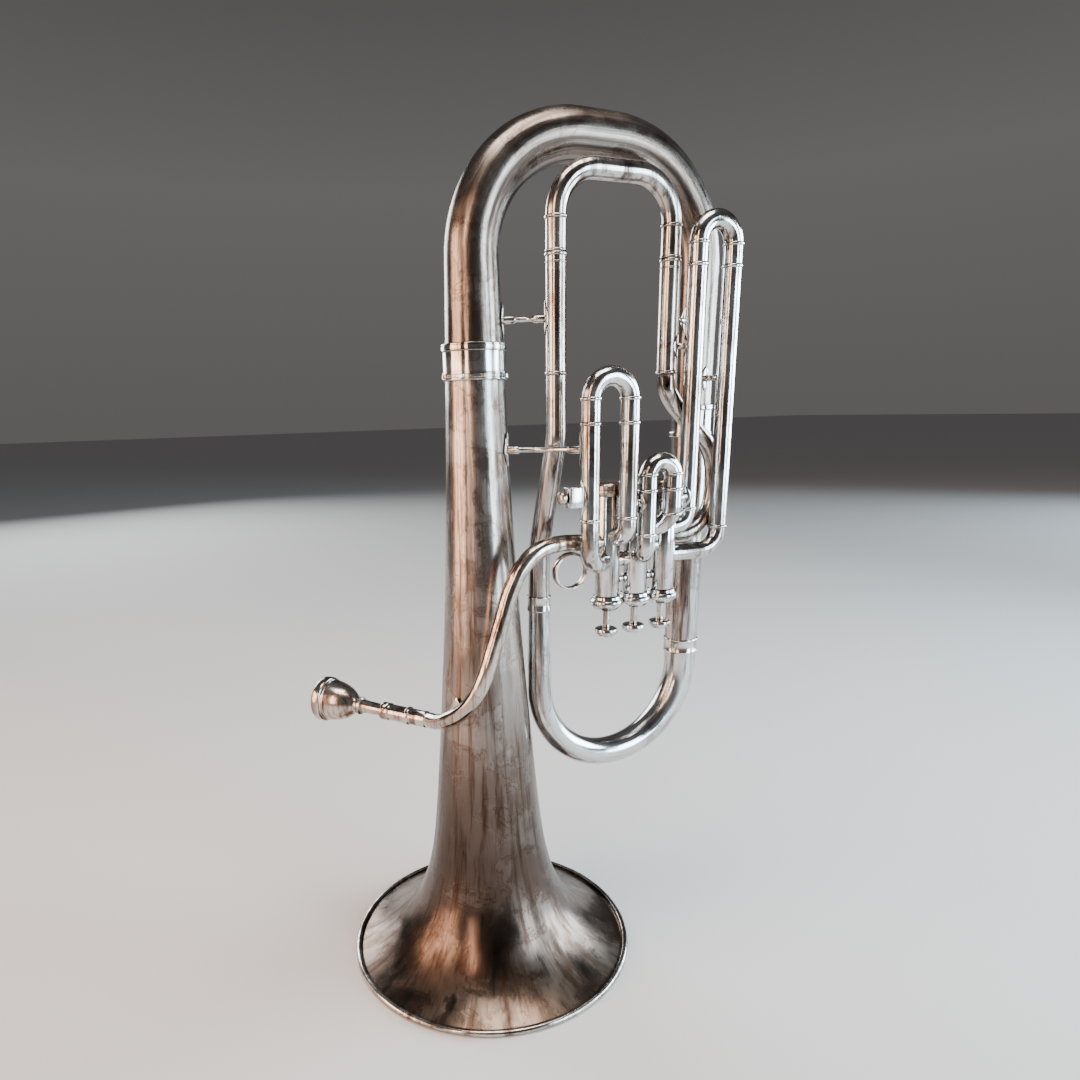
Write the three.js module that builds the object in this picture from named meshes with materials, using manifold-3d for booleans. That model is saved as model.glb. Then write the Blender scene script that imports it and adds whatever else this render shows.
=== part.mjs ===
// Three-valve baritone horn of the upright saxhorn family, standing on its bell rim.
// Millimetres, +Z up. The bell axis is vertical. The bows and the tuning slide run along +X from
// the bell, and the valves stand in front of them at negative Y.
import * as THREE from 'three';
import { mergeVertices } from 'three/addons/utils/BufferGeometryUtils.js';
import Module from 'manifold-3d';

const wasm = await Module();
wasm.setup();

// ---------------------------------------------------------------- driving dimensions
const GAP = 0.3;                   // play between neighbouring pieces
const BEND_STEP = Math.PI / 8;     // turn between two rings of a bend

const RIM_R = 118;                 // bell rim, outer radius
const RIM_H = 4.6;                 // height of the rolled rim wire
const BELL_WALL = 1.1;
const BELL_TOP = 474;              // where the bell meets the big bow
const BELL_SHAPE = [               // outer radius at height
  [113.6, 2.2], [106, 5.4], [94, 11.5], [80, 21.5], [68, 34], [58, 51], [50, 75], [44, 110],
  [38.4, 172], [32, 250], [26, 338], [22.8, 410], [20.9, BELL_TOP],
];

const BOW_X = 188;                 // distance from the bell axis to the far leg of the big bow
const BOW_TOP_Z = 621;             // centre line of the big bow at its highest
const BOW_BEND_R = 80;             // its two bends, with a short straight between them
const BOW_R_BELL = 20.9;           // big bow, radius at the bell
const BOW_R_FAR = 15.2;            // and at its far end
const BOW_END_Z = 429;             // end of the far leg, inside its ferrule
const BRANCH_END_Z = 240;          // where the right branch meets the lower bow
const BRANCH_R_LOW = 13.7;
const TUBE_WALL = 1.0;

const TUNE_X = [50.4, 142.8];      // tuning slide legs, far enough forward to clear the big bow
const TUNE_Y = -27;
const TUNE_R = 7.1;
const TUNE_SEAM_Z = 542;           // slide and sleeve meet here when the slide is pushed in
const TUNE_RING_Z = 562;
const TUNE_LOW_Z = 464;            // lower end of the sleeves
const TUNE_TOP_Z = 594.5;
const TUNE_BEND_R = 30;

const LOW_BOW_X = [45, BOW_X];     // lower bow legs
const LOW_BOW_Y = [-8, 0];
const LOW_BOW_CENTRE_Z = 226;
const LOW_BOW_START_Z = 296;
const LOW_BOW_R = [8.6, BRANCH_R_LOW];

const VALVE_X = [86.7, 111.4, 136.1];
const VALVE_Y = -40;
const CASING_R = 9.4;
const CASING_BORE = 8.05;
const CASING_Z = [297, 384];
const PISTON_R = 7.75;
const PISTON_Z = [306, 361];
const PISTON_TRAVEL = 12;
const STEM_R = 2.6;
const BUTTON_R = 8.7;
const BUTTON_Z = [272.2, 278.6];
const CAP_R = 12.3;
const PORT_R = 3.4;
const COIL_STEPS = 8;

const SLIDE_R = 6.75;              // valve slide tubing
const SLIDE_BORE = 6.15;
const SLIDE_LEG_R = 5.85;
const FRONT_Y = -58.3;               // plane of the first and second slides
const BEAD = 0.8;                  // how far a ring stands proud of its tube
const BEAD_H = 2.4;

const PIPE_R = 6.15;               // leadpipe
const PIPE_AXIS = new THREE.Vector3(-0.664, 0.746, 0.042).normalize();
const PIPE_END = new THREE.Vector3(-46.6, 4.6, 209.4);

const group = new THREE.Group();
group.name = 'baritone_horn';

const FINISH = {
  silver: [0xb9bec0, 0.22, 1.0],
  worn_silver: [0x9c9792, 0.35, 1.0],
  satin_silver: [0xa8a49e, 0.4, 1.0],
  nickel: [0xc7c9c6, 0.18, 1.0],
  steel: [0x8d9093, 0.35, 1.0],
};

// ---------------------------------------------------------------- building blocks
function signedVolume(positions, index) {
  let volume = 0;
  for (let i = 0; i < index.length; i += 3) {
    const [a, b, c] = [index[i], index[i + 1], index[i + 2]].map((k) => positions[k]);
    volume += a.dot(b.clone().cross(c)) / 6;
  }
  return volume;
}

// A closed skin through rings of equal side count. A ring of radius 0 is a single point.
// With loop set the last ring joins the first, which makes a hollow tube or a hoop.
function skin(rings, sides, loop) {
  const points = [];
  const index = [];
  const starts = rings.map((ring) => {
    const start = points.length;
    if (ring.r < 1e-6) {
      points.push(ring.p.clone());
      return [start, 0];
    }
    for (let k = 0; k < sides; k += 1) {
      const angle = (2 * Math.PI * k) / sides;
      points.push(ring.p.clone()
        .addScaledVector(ring.u, ring.r * Math.cos(angle))
        .addScaledVector(ring.v, ring.r * Math.sin(angle)));
    }
    return [start, 1];
  });
  const spans = loop ? rings.length : rings.length - 1;
  for (let i = 0; i < spans; i += 1) {
    const [a, stepA] = starts[i];
    const [b, stepB] = starts[(i + 1) % rings.length];
    for (let k = 0; k < sides; k += 1) {
      const next = (k + 1) % sides;
      const quad = [a + k * stepA, a + next * stepA, b + next * stepB, b + k * stepB];
      if (stepA) {
        index.push(quad[0], quad[1], quad[2]);
      }
      if (stepB) {
        index.push(quad[0], quad[2], quad[3]);
      }
    }
  }
  if (signedVolume(points, index) < 0) {
    index.reverse();
  }
  const geometry = new THREE.BufferGeometry();
  const flat = new Float32Array(points.flatMap((p) => [p.x, p.y, p.z]));
  geometry.setAttribute('position', new THREE.BufferAttribute(flat, 3));
  geometry.setIndex(index);
  return geometry;
}

// Turned piece: profile of [radius, height] about a line through origin along axis.
function turned(profile, sides, loop = false, origin = [0, 0, 0], axis = [0, 0, 1]) {
  const w = new THREE.Vector3(...axis).normalize();
  const side = Math.abs(w.z) > 0.9 ? new THREE.Vector3(1, 0, 0) : new THREE.Vector3(0, 0, 1);
  const u = side.addScaledVector(w, -side.dot(w)).normalize();
  const v = w.clone().cross(u);
  const start = new THREE.Vector3(...origin);
  const rings = profile.map(([r, h]) => ({ p: start.clone().addScaledVector(w, h), u, v, r }));
  return skin(rings, sides, loop);
}

// Centre line through corners [x, y, z, bend radius].
function route(corners) {
  const at = corners.map(([x, y, z]) => new THREE.Vector3(x, y, z));
  const line = [at[0].clone()];
  for (let i = 1; i < at.length - 1; i += 1) {
    const before = at[i - 1].clone().sub(at[i]).normalize();
    const after = at[i + 1].clone().sub(at[i]).normalize();
    const turn = Math.PI - before.angleTo(after);
    const radius = corners[i][3];
    const reach = radius * Math.tan(turn / 2);
    const centre = at[i].clone()
      .addScaledVector(before.clone().add(after).normalize(), radius / Math.cos(turn / 2));
    const from = at[i].clone().addScaledVector(before, reach).sub(centre);
    const axis = after.clone().cross(before).normalize();
    const steps = Math.max(1, Math.round(turn / BEND_STEP));
    for (let k = 0; k <= steps; k += 1) {
      const point = from.clone().applyAxisAngle(axis, (turn * k) / steps).add(centre);
      if (point.distanceTo(line[line.length - 1]) > 0.01) {
        line.push(point);
      }
    }
  }
  line.push(at[at.length - 1].clone());
  return line;
}

// Smooth centre line through free points.
function smooth(points, steps) {
  const curve = new THREE.CatmullRomCurve3(points.map((p) => new THREE.Vector3(...p)), false,
    'centripetal');
  return curve.getSpacedPoints(steps);
}

function lengths(line) {
  const at = [0];
  for (let i = 1; i < line.length; i += 1) {
    at.push(at[i - 1] + line[i].distanceTo(line[i - 1]));
  }
  return at;
}

function lookUp(knots, s) {
  for (let i = 1; i < knots.length; i += 1) {
    if (s <= knots[i][0]) {
      const span = knots[i][0] - knots[i - 1][0];
      const t = span < 1e-9 ? 1 : (s - knots[i - 1][0]) / span;
      return knots[i - 1][1] + t * (knots[i][1] - knots[i - 1][1]);
    }
  }
  return knots[knots.length - 1][1];
}

// Frames carried along the line without twist.
function framesOf(line) {
  const tangents = line.map((p, i) => {
    const a = line[Math.max(0, i - 1)];
    const b = line[Math.min(line.length - 1, i + 1)];
    const inward = i > 0 ? p.clone().sub(a).normalize() : null;
    const outward = i < line.length - 1 ? b.clone().sub(p).normalize() : null;
    if (!inward || !outward) {
      return inward || outward;
    }
    return inward.add(outward).normalize();
  });
  const first = tangents[0];
  const side = Math.abs(first.y) > 0.9 ? new THREE.Vector3(1, 0, 0) : new THREE.Vector3(0, 1, 0);
  let u = side.addScaledVector(first, -side.dot(first)).normalize();
  return tangents.map((w) => {
    u = u.clone().addScaledVector(w, -u.dot(w)).normalize();
    return { w, u, v: w.clone().cross(u) };
  });
}

function ringAt(line, at, frames, s, r) {
  let i = 1;
  while (i < at.length - 1 && at[i] < s - 1e-6) {
    i += 1;
  }
  const t = Math.min(1, Math.max(0, (s - at[i - 1]) / (at[i] - at[i - 1])));
  const straight = at[i] - at[i - 1] > 15;
  const w = straight && t > 0.001 && t < 0.999
    ? line[i].clone().sub(line[i - 1]).normalize()
    : frames[i - 1].w.clone().lerp(frames[i].w, t).normalize();
  const u0 = frames[i - 1].u.clone().lerp(frames[i].u, t);
  const u = u0.addScaledVector(w, -u0.dot(w)).normalize();
  return { p: line[i - 1].clone().lerp(line[i], t), u, v: w.clone().cross(u), r };
}

// Tube along a line. outer and inner are [distance, radius] knots, and two knots at one
// distance make a step. inner null makes it solid. reach 'full' takes the whole line.
function tube(line, outer, inner, sides) {
  const at = lengths(line);
  const frames = framesOf(line);
  const total = at[at.length - 1];
  const wall = (knots) => {
    const rings = [];
    const stops = at.filter((s) => !knots.some(([k]) => Math.abs(k - s) < 0.4));
    const marks = [...knots.map(([s, r]) => [s, r]), ...stops.map((s) => [s, null])];
    marks.sort((a, b) => a[0] - b[0]);
    marks.forEach(([s, r]) => {
      rings.push(ringAt(line, at, frames, s, r === null ? lookUp(knots, s) : r));
    });
    return rings;
  };
  const out = outer.map(([s, r]) => [s < 0 ? total + s : s, r]);
  const fixed = (knots) => {
    const last = knots[knots.length - 1];
    return last[0] === Infinity ? [...knots.slice(0, -1), [total, last[1]]] : knots;
  };
  const outRings = wall(fixed(out));
  if (!inner) {
    const head = { ...outRings[0], r: 0 };
    const tail = { ...outRings[outRings.length - 1], r: 0 };
    return skin([head, ...outRings, tail], sides, false);
  }
  const inn = fixed(inner.map(([s, r]) => [s < 0 ? total + s : s, r]));
  return skin([...outRings, ...wall(inn).reverse()], sides, true);
}

// Knots of an even tube with raised rings that start at the given distances.
function beaded(total, r, starts, height = BEAD_H, proud = BEAD) {
  const knots = [[0, r]];
  starts.forEach((s) => {
    if (s > 0) {
      knots.push([s, r]);
    } else {
      knots.pop();
    }
    knots.push([s, r + proud]);
    knots.push([s + height, r + proud]);
    if (s + height < total - 1e-6) {
      knots.push([s + height, r]);
    }
  });
  if (knots[knots.length - 1][0] < total) {
    knots.push([total, r]);
  }
  return knots;
}

function totalOf(line) {
  const at = lengths(line);
  return at[at.length - 1];
}

function solidOf(geometry) {
  const bare = geometry.clone();
  bare.deleteAttribute('normal');
  bare.deleteAttribute('uv');
  const merged = mergeVertices(bare, 1e-4);
  return new wasm.Manifold(new wasm.Mesh({
    numProp: 3,
    vertProperties: new Float32Array(merged.attributes.position.array),
    triVerts: new Uint32Array(merged.index.array),
  }));
}

function geometryOf(solid) {
  const mesh = solid.getMesh();
  const geometry = new THREE.BufferGeometry();
  const stride = mesh.numProp;
  const count = mesh.vertProperties.length / stride;
  const flat = new Float32Array(count * 3);
  for (let i = 0; i < count; i += 1) {
    flat.set(mesh.vertProperties.subarray(i * stride, i * stride + 3), i * 3);
  }
  geometry.setAttribute('position', new THREE.BufferAttribute(flat, 3));
  geometry.setIndex(Array.from(mesh.triVerts));
  return geometry;
}

function cut(geometry, ...tools) {
  const body = tools.reduce((left, tool) => left.subtract(solidOf(tool)), solidOf(geometry));
  return geometryOf(body);
}

function join(...pieces) {
  return geometryOf(pieces.map(solidOf).reduce((left, piece) => left.add(piece)));
}

function common(a, b) {
  return geometryOf(solidOf(a).intersect(solidOf(b)));
}

// Solid rod between two points, used as a piece or as a cutting tool.
function rod(from, to, r, sides = 16) {
  const a = new THREE.Vector3(...from);
  const b = new THREE.Vector3(...to);
  const length = a.distanceTo(b);
  return turned([[0, 0], [r, 0], [r, length], [0, length]], sides, false, from,
    b.clone().sub(a).toArray());
}

function add(name, geometry, finish) {
  const [color, roughness, metalness] = FINISH[finish];
  geometry.computeVertexNormals();
  const material = new THREE.MeshStandardMaterial({ color, roughness, metalness });
  material.name = name;
  const mesh = new THREE.Mesh(geometry, material);
  mesh.name = name;
  group.add(mesh);
}

function bellRadius(z) {
  return lookUp(BELL_SHAPE.map(([r, h]) => [h, r]), z);
}

// ---------------------------------------------------------------- bell and rim
const bellOuter = BELL_SHAPE;
const bellInner = BELL_SHAPE.map(([r, z], i) => {
  const steep = i < 6;
  return steep ? [r - BELL_WALL * 0.5, z - BELL_WALL] : [r - BELL_WALL, z];
}).reverse();
add('bell', turned([...bellOuter, ...bellInner], 36, true), 'satin_silver');

const rimIn = RIM_R - 4.2;
const rimProfile = [
  [rimIn, 0], [RIM_R - 1.2, 0], [RIM_R, 1.4], [RIM_R, RIM_H - 1.4],
  [RIM_R - 1.4, RIM_H], [rimIn, RIM_H],
];
add('bell_rim', turned(rimProfile, 36, true), 'silver');

// ---------------------------------------------------------------- big bow and its ferrules
const bowLine = route([
  [0, 0, BELL_TOP + GAP, 0], [0, 0, BOW_TOP_Z, BOW_BEND_R],
  [BOW_X, 0, BOW_TOP_Z, BOW_BEND_R], [BOW_X, 0, BOW_END_Z + GAP, 0],
]);
const bowTotal = totalOf(bowLine);
const bowOuter = [[0, BOW_R_BELL], [80, 18.2], [bowTotal, BOW_R_FAR]];
const bowInner = bowOuter.map(([s, r]) => [s, r - TUBE_WALL]);
add('big_bow', tube(bowLine, bowOuter, bowInner, 20), 'worn_silver');

function ferrule(name, x, y, z, height, bore, wall, sides, proud = 0.9, band = 3) {
  const r = bore + wall;
  const profile = [
    [bore, 0], [r + proud, 0], [r + proud, band], [r, band], [r, height - band],
    [r + proud, height - band], [r + proud, height], [bore, height],
  ];
  add(name, turned(profile, sides, true, [x, y, z]), 'silver');
}
ferrule('bell_bow_ferrule', 0, 0, 462, 24, 21.4 + GAP, 0.6, 26, 1.0, 5);
ferrule('bow_branch_ferrule', BOW_X, 0, 417, 24, BOW_R_FAR + GAP + 0.15, 0.6, 24);

// ---------------------------------------------------------------- right branch, lower bow, left branch
const branchLine = route([[BOW_X, 0, BOW_END_Z, 0], [BOW_X, 0, BRANCH_END_Z + GAP, 0]]);
const branchTotal = totalOf(branchLine);
add('right_branch', tube(branchLine,
  [[0, BOW_R_FAR], [branchTotal, BRANCH_R_LOW]],
  [[0, BOW_R_FAR - TUBE_WALL], [branchTotal, BRANCH_R_LOW - TUBE_WALL]], 22), 'worn_silver');

const lowHalf = (LOW_BOW_X[1] - LOW_BOW_X[0]) / 2;
const lowLine = route([
  [LOW_BOW_X[0], LOW_BOW_Y[0], LOW_BOW_START_Z - GAP, 0],
  [LOW_BOW_X[0], LOW_BOW_Y[0], LOW_BOW_CENTRE_Z - lowHalf, lowHalf - 0.2],
  [LOW_BOW_X[1], LOW_BOW_Y[1], LOW_BOW_CENTRE_Z - lowHalf, lowHalf - 0.2],
  [LOW_BOW_X[1], LOW_BOW_Y[1], BRANCH_END_Z, 0],
]);
const lowTotal = totalOf(lowLine);
add('lower_bow', tube(lowLine,
  [[0, LOW_BOW_R[0]], [lowTotal, LOW_BOW_R[1]]],
  [[0, LOW_BOW_R[0] - TUBE_WALL], [lowTotal, LOW_BOW_R[1] - TUBE_WALL]], 16), 'silver');
ferrule('low_bow_ferrule_right', BOW_X, 0, BRANCH_END_Z - 6, 12, BRANCH_R_LOW + GAP + 0.1, 0.5, 24,
  0.01, 1);

const leftLine = route([
  [TUNE_X[0], TUNE_Y, TUNE_LOW_Z - GAP, 0], [TUNE_X[0], TUNE_Y, 420, 60],
  [LOW_BOW_X[0] + 0.4, LOW_BOW_Y[0] - 1, 340, 60],
  [LOW_BOW_X[0], LOW_BOW_Y[0], LOW_BOW_START_Z + GAP, 0],
]);
const leftTotal = totalOf(leftLine);
add('left_branch', tube(leftLine, [[0, TUNE_R], [leftTotal, LOW_BOW_R[0]]],
  [[0, TUNE_R - TUBE_WALL], [leftTotal, LOW_BOW_R[0] - TUBE_WALL]], 14), 'worn_silver');
ferrule('low_bow_ferrule_left', LOW_BOW_X[0], LOW_BOW_Y[0], LOW_BOW_START_Z - 6, 12,
  LOW_BOW_R[0] + GAP + 0.15, 0.5, 16, 0.01, 1);

// ---------------------------------------------------------------- tuning slide
['left', 'right'].forEach((side, i) => {
  const line = route([[TUNE_X[i], TUNE_Y, TUNE_LOW_Z, 0], [TUNE_X[i], TUNE_Y, TUNE_SEAM_Z, 0]]);
  const total = totalOf(line);
  add(`tuning_sleeve_${side}`, tube(line, beaded(total, TUNE_R, [0, total - BEAD_H]),
    [[0, TUNE_R - 0.6], [total, TUNE_R - 0.6]], 12), 'worn_silver');
});
const LEG_DROP = 60;               // how far the slide's inner legs reach into the sleeves
const tuneLine = route([
  [TUNE_X[0], TUNE_Y, TUNE_SEAM_Z - LEG_DROP, 0],
  [TUNE_X[0], TUNE_Y, TUNE_TOP_Z, TUNE_BEND_R],
  [TUNE_X[1], TUNE_Y, TUNE_TOP_Z, TUNE_BEND_R],
  [TUNE_X[1], TUNE_Y, TUNE_SEAM_Z - LEG_DROP, 0],
]);

// A slide: inner legs, then a step at the seam, rings, and the crook.
function slideKnots(total, drop, seamGap, legR, r, ringFromSeam) {
  const seam = drop + seamGap;
  const half = [
    [0, legR], [seam, legR], [seam, r],
    [drop + ringFromSeam, r], [drop + ringFromSeam, r + BEAD],
    [drop + ringFromSeam + BEAD_H, r + BEAD], [drop + ringFromSeam + BEAD_H, r],
  ];
  const far = half.map(([s, rr]) => [total - s, rr]).reverse();
  return [...half, ...far];
}
const tuneTotal = totalOf(tuneLine);
const TUNE_LEG_R = TUNE_R - 0.95;
add('tuning_slide', tube(tuneLine,
  slideKnots(tuneTotal, LEG_DROP, GAP, TUNE_LEG_R, TUNE_R, TUNE_RING_Z - TUNE_SEAM_Z),
  [[0, TUNE_LEG_R - 0.7], [tuneTotal, TUNE_LEG_R - 0.7]], 12), 'worn_silver');

// ---------------------------------------------------------------- valves
const PORTS = [
  { inZ: 346, outZ: 331, out: [1, 0], a: 331, b: 350 },
  { inZ: 331, outZ: 339, out: [1, 0], a: 335, b: 354 },
  { inZ: 339, outZ: 343, out: [0.22, 0.975], a: 352, b: 331 },
];
const SLIDES = [
  { legs: [[60.6, FRONT_Y], [91.7, FRONT_Y]], seam: 432, ring: 446, drop: 52, low: [366, 366] },
  { legs: [[108.4, FRONT_Y], [130, FRONT_Y]], seam: 384, ring: 393, drop: 14, low: [352, 366] },
  { legs: [[157.4, VALVE_Y], [187.6, VALVE_Y]], seam: 538, ring: 550, drop: 120, low: [366, 350] },
];

function casingCutter(i) {
  return rod([VALVE_X[i], VALVE_Y, CASING_Z[0] - 5], [VALVE_X[i], VALVE_Y, CASING_Z[1] + 5],
    CASING_R + GAP, 24);
}

VALVE_X.forEach((x, i) => {
  const n = i + 1;
  const port = PORTS[i];
  const centre = [x, VALVE_Y];
  const at = (dir, z, r) => [x + dir[0] * r, VALVE_Y + dir[1] * r, z];
  const toward = (leg) => {
    const d = new THREE.Vector2(leg[0] - x, leg[1] - VALVE_Y).normalize();
    return [d.x, d.y];
  };
  const legDirs = SLIDES[i].legs.map(toward);
  const reach = CASING_R + 3;

  const wall = turned([
    [CASING_R, CASING_Z[0]], [CASING_R, CASING_Z[1]],
    [CASING_BORE, CASING_Z[1]], [CASING_BORE, CASING_Z[0]],
  ], 24, true, [x, VALVE_Y, 0]);
  add(`valve_${n}_casing`, cut(wall,
    rod([x - 2, VALVE_Y, port.inZ], at([-1, 0], port.inZ, reach), PORT_R, 12),
    rod(at(port.out, port.outZ, 2), at(port.out, port.outZ, reach), PORT_R, 12),
    rod(at(legDirs[0], port.a, 2), at(legDirs[0], port.a, reach), PORT_R, 12),
    rod(at(legDirs[1], port.b, 2), at(legDirs[1], port.b, reach), PORT_R, 12)), 'silver');

  const pistonBody = turned([
    [0, PISTON_Z[0]], [PISTON_R, PISTON_Z[0]], [PISTON_R, PISTON_Z[1]], [0, PISTON_Z[1]],
  ], 24, false, [x, VALVE_Y, 0]);
  const down = PISTON_TRAVEL;
  const bores = cut(pistonBody,
    rod(at([-1, 0], port.inZ, reach), at(port.out, port.outZ, reach), PORT_R - 0.2, 12),
    rod(at([-1, 0], port.inZ - down, reach), at(legDirs[1], port.b - down, reach), 2.2, 10),
    rod(at(legDirs[0], port.a - down, reach), at(port.out, port.outZ - down, reach), 2.2, 10));
  const stem = turned([
    [0, BUTTON_Z[1] + GAP], [STEM_R - 0.4, BUTTON_Z[1] + GAP], [STEM_R, BUTTON_Z[1] + 0.8],
    [STEM_R, PISTON_Z[0] + 1], [0, PISTON_Z[0] + 1],
  ], 12, false, [x, VALVE_Y, 0]);
  add(`valve_${n}_piston`, join(bores, stem), 'nickel');

  const b0 = BUTTON_Z[0];
  add(`valve_${n}_button`, turned([
    [0, b0], [6.2, b0], [7.3, b0 + 0.7], [BUTTON_R, b0 + 3.4], [BUTTON_R, b0 + 4.8],
    [BUTTON_R - 1.2, BUTTON_Z[1] - 0.2], [3.4, BUTTON_Z[1]], [0, BUTTON_Z[1]],
  ], 20, false, [x, VALVE_Y, 0]), 'silver');

  const capIn = CASING_R + GAP;
  add(`valve_${n}_finger_cap`, turned([
    [STEM_R + 0.45, 292.6], [8, 292.6], [CAP_R, 297], [CAP_R, 300.6],
    [capIn + 0.8, 303.8], [capIn, 303.8], [capIn, CASING_Z[0] - GAP],
    [STEM_R + 0.45, CASING_Z[0] - GAP],
  ], 20, true, [x, VALVE_Y, 0]), 'silver');

  const z1 = CASING_Z[1];
  add(`valve_${n}_bottom_cap`, turned([
    [0, z1 + GAP], [capIn, z1 + GAP], [capIn, z1 - 4.5], [capIn + 0.8, z1 - 4.5],
    [capIn + 0.8, z1 + 3], [8.4, z1 + 5], [0, z1 + 5.4],
  ], 20, false, [x, VALVE_Y, 0]), 'silver');

  const turns = 4;
  const rise = z1 - PISTON_Z[1] - 2 * GAP - 1.4;
  const coil = [];
  for (let k = 0; k <= turns * COIL_STEPS; k += 1) {
    const angle = (2 * Math.PI * k) / COIL_STEPS;
    coil.push([centre[0] + 5.4 * Math.cos(angle), centre[1] + 5.4 * Math.sin(angle),
      PISTON_Z[1] + GAP + 0.7 + (rise * k) / (turns * COIL_STEPS)]);
  }
  const coilLine = coil.map((p) => new THREE.Vector3(...p));
  add(`valve_${n}_spring`, tube(coilLine, [[0, 0.6], [totalOf(coilLine), 0.6]], null, 5), 'steel');
});

// Windway links between casings, and the small ties nearer the finger caps.
const linkZ = [PORTS[0].outZ, PORTS[1].outZ];
linkZ.forEach((z, i) => {
  const blank = turned([
    [5.6, -12], [5.6, 12], [PORT_R + 0.6, 12], [PORT_R + 0.6, -12],
  ], 16, true, [(VALVE_X[i] + VALVE_X[i + 1]) / 2, VALVE_Y, z], [1, 0, 0]);
  add(`valve_link_${i + 1}${i + 2}`, cut(blank, casingCutter(i), casingCutter(i + 1)), 'silver');
  const tie = turned([
    [0, -8], [3.4, -8], [3.4, -1.6], [1.9, -0.8], [1.9, 0.8], [3.4, 1.6], [3.4, 8], [0, 8],
  ], 12, false, [(VALVE_X[i] + VALVE_X[i + 1]) / 2, VALVE_Y, 316], [1, 0, 0]);
  add(`valve_tie_${i + 1}${i + 2}`, cut(tie, casingCutter(i), casingCutter(i + 1)), 'silver');
});

// ---------------------------------------------------------------- valve slides
SLIDES.forEach((slide, i) => {
  const n = i + 1;
  const port = PORTS[i];
  [port.a, port.b].forEach((z, k) => {
    const [x, y] = slide.legs[k];
    const span = Math.hypot(x - VALVE_X[i], y - VALVE_Y);
    const bend = Math.min(span - CASING_R - 0.6, 16);
    const line = route([
      [x, y, slide.seam, 0], [x, y, z, Math.max(bend, 7.2)], [VALVE_X[i], VALVE_Y, z, 0],
    ]);
    const total = totalOf(line);
    const lowRing = slide.seam - slide.low[k];
    const pipe = tube(line, beaded(total, SLIDE_R, [0, lowRing]),
      [[0, SLIDE_BORE], [total, SLIDE_BORE]], 12);
    const plug = turned([[0, CASING_Z[0] - 5], [CASING_R + GAP, CASING_Z[0] - 5],
      [CASING_R + GAP, CASING_Z[1] - 10], [0, CASING_Z[1] - 10]], 24, false,
    [VALVE_X[i], VALVE_Y, 0]);
    const side = k === 0 ? 'left' : 'right';
    const blank = cut(pipe, plug);
    const beyond = rod([VALVE_X[i], VALVE_Y, z - 9], [VALVE_X[i], VALVE_Y, z + 9], CASING_R, 24);
    add(`slide_${n}_sleeve_${side}`, cut(blank, beyond), 'silver');
  });
  const [left, right] = slide.legs;
  const half = (right[0] - left[0]) / 2;
  const crownZ = [462, 403, 567][i];
  const line = route([
    [left[0], left[1], slide.seam - slide.drop, 0], [left[0], left[1], crownZ, half - 0.01],
    [right[0], right[1], crownZ, half - 0.01], [right[0], right[1], slide.seam - slide.drop, 0],
  ]);
  const total = totalOf(line);
  add(`slide_${n}`, tube(line,
    slideKnots(total, slide.drop, GAP, SLIDE_LEG_R, SLIDE_R, slide.ring - slide.seam),
    [[0, SLIDE_LEG_R - 0.7], [total, SLIDE_LEG_R - 0.7]], 12), 'silver');
});

// ---------------------------------------------------------------- outlet tube to the tuning slide
const outletLine = smooth([
  [VALVE_X[2] + 1.5, -33, 343], [140.5, -28.4, 343], [152, -27.2, 342.6], [169, -26.6, 343.5],
  [184, -25.8, 352], [192.5, -25.2, 368], [193, -25, 391], [187, -25, 409],
  [174.5, -25.2, 421], [161.3, -25.4, 434], [150, -26.1, 445], [144.2, -26.9, 454],
  [TUNE_X[1], TUNE_Y, TUNE_LOW_Z - 1.4],
], 18);
const outletTotal = totalOf(outletLine);
add('outlet_tube', cut(tube(outletLine, [[0, 6.7], [outletTotal, 6.9]],
  [[0, 5.7], [outletTotal, 5.9]], 12), casingCutter(2)), 'worn_silver');

// ---------------------------------------------------------------- leadpipe, receiver, mouthpiece
const along = (s) => PIPE_END.clone().addScaledVector(PIPE_AXIS, s);
const pipeLine = smooth([
  [VALVE_X[0] - 6, VALVE_Y, 346], [72, -40.6, 346.2], [60.4, -42, 346.8], [45, -43, 347.5],
  [28, -45, 345], [14.5, -46, 335.7], [4.6, -46.5, 320.2], [-3.9, -47, 297.9],
  [-11.5, -47.2, 276.5], [-19.3, -46, 254.2], [-25.5, -41.5, 239], [-32.5, -32.5, 226.5],
  [-39.2, -20.5, 217.6], [-43, -8.6, 212], along(-6).toArray(), along(2).toArray(),
], 20);
const pipeTotal = totalOf(pipeLine);
add('leadpipe', cut(tube(pipeLine, [[0, PIPE_R], [pipeTotal, PIPE_R]],
  [[0, PIPE_R - 0.9], [pipeTotal, PIPE_R - 0.9]], 12), casingCutter(0),
  rod(along(0.3).toArray(), along(20).toArray(), 12)), 'silver');

const receiverProfile = [
  [PIPE_R, 0.8], [PIPE_R + 0.5, 0.8], [PIPE_R + 0.5, 16], [PIPE_R + 1.1, 16], [PIPE_R + 1.1, 19],
  [PIPE_R + 0.3, 19], [PIPE_R + 0.3, 34], [PIPE_R + 0.9, 34], [PIPE_R + 0.9, 42], [5.0, 42],
  [4.7, 0.8],
];
add('mouthpiece_receiver', turned(receiverProfile, 16, true, PIPE_END.toArray(),
  PIPE_AXIS.toArray()), 'silver');

const mouthpieceProfile = [
  [3.0, 14], [4.4, 14], [4.7, 43], [5.6, 62], [7.4, 63], [7.4, 65], [6.0, 66],
  [8, 70], [13.5, 82], [16.6, 91.5], [18.4, 93.6], [18.6, 99],
  [17.2, 101.4], [14, 101.2], [12.6, 97], [11, 89], [3.4, 76], [2.5, 70],
];
add('mouthpiece', turned(mouthpieceProfile, 20, true, PIPE_END.toArray(), PIPE_AXIS.toArray()),
  'worn_silver');

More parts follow.
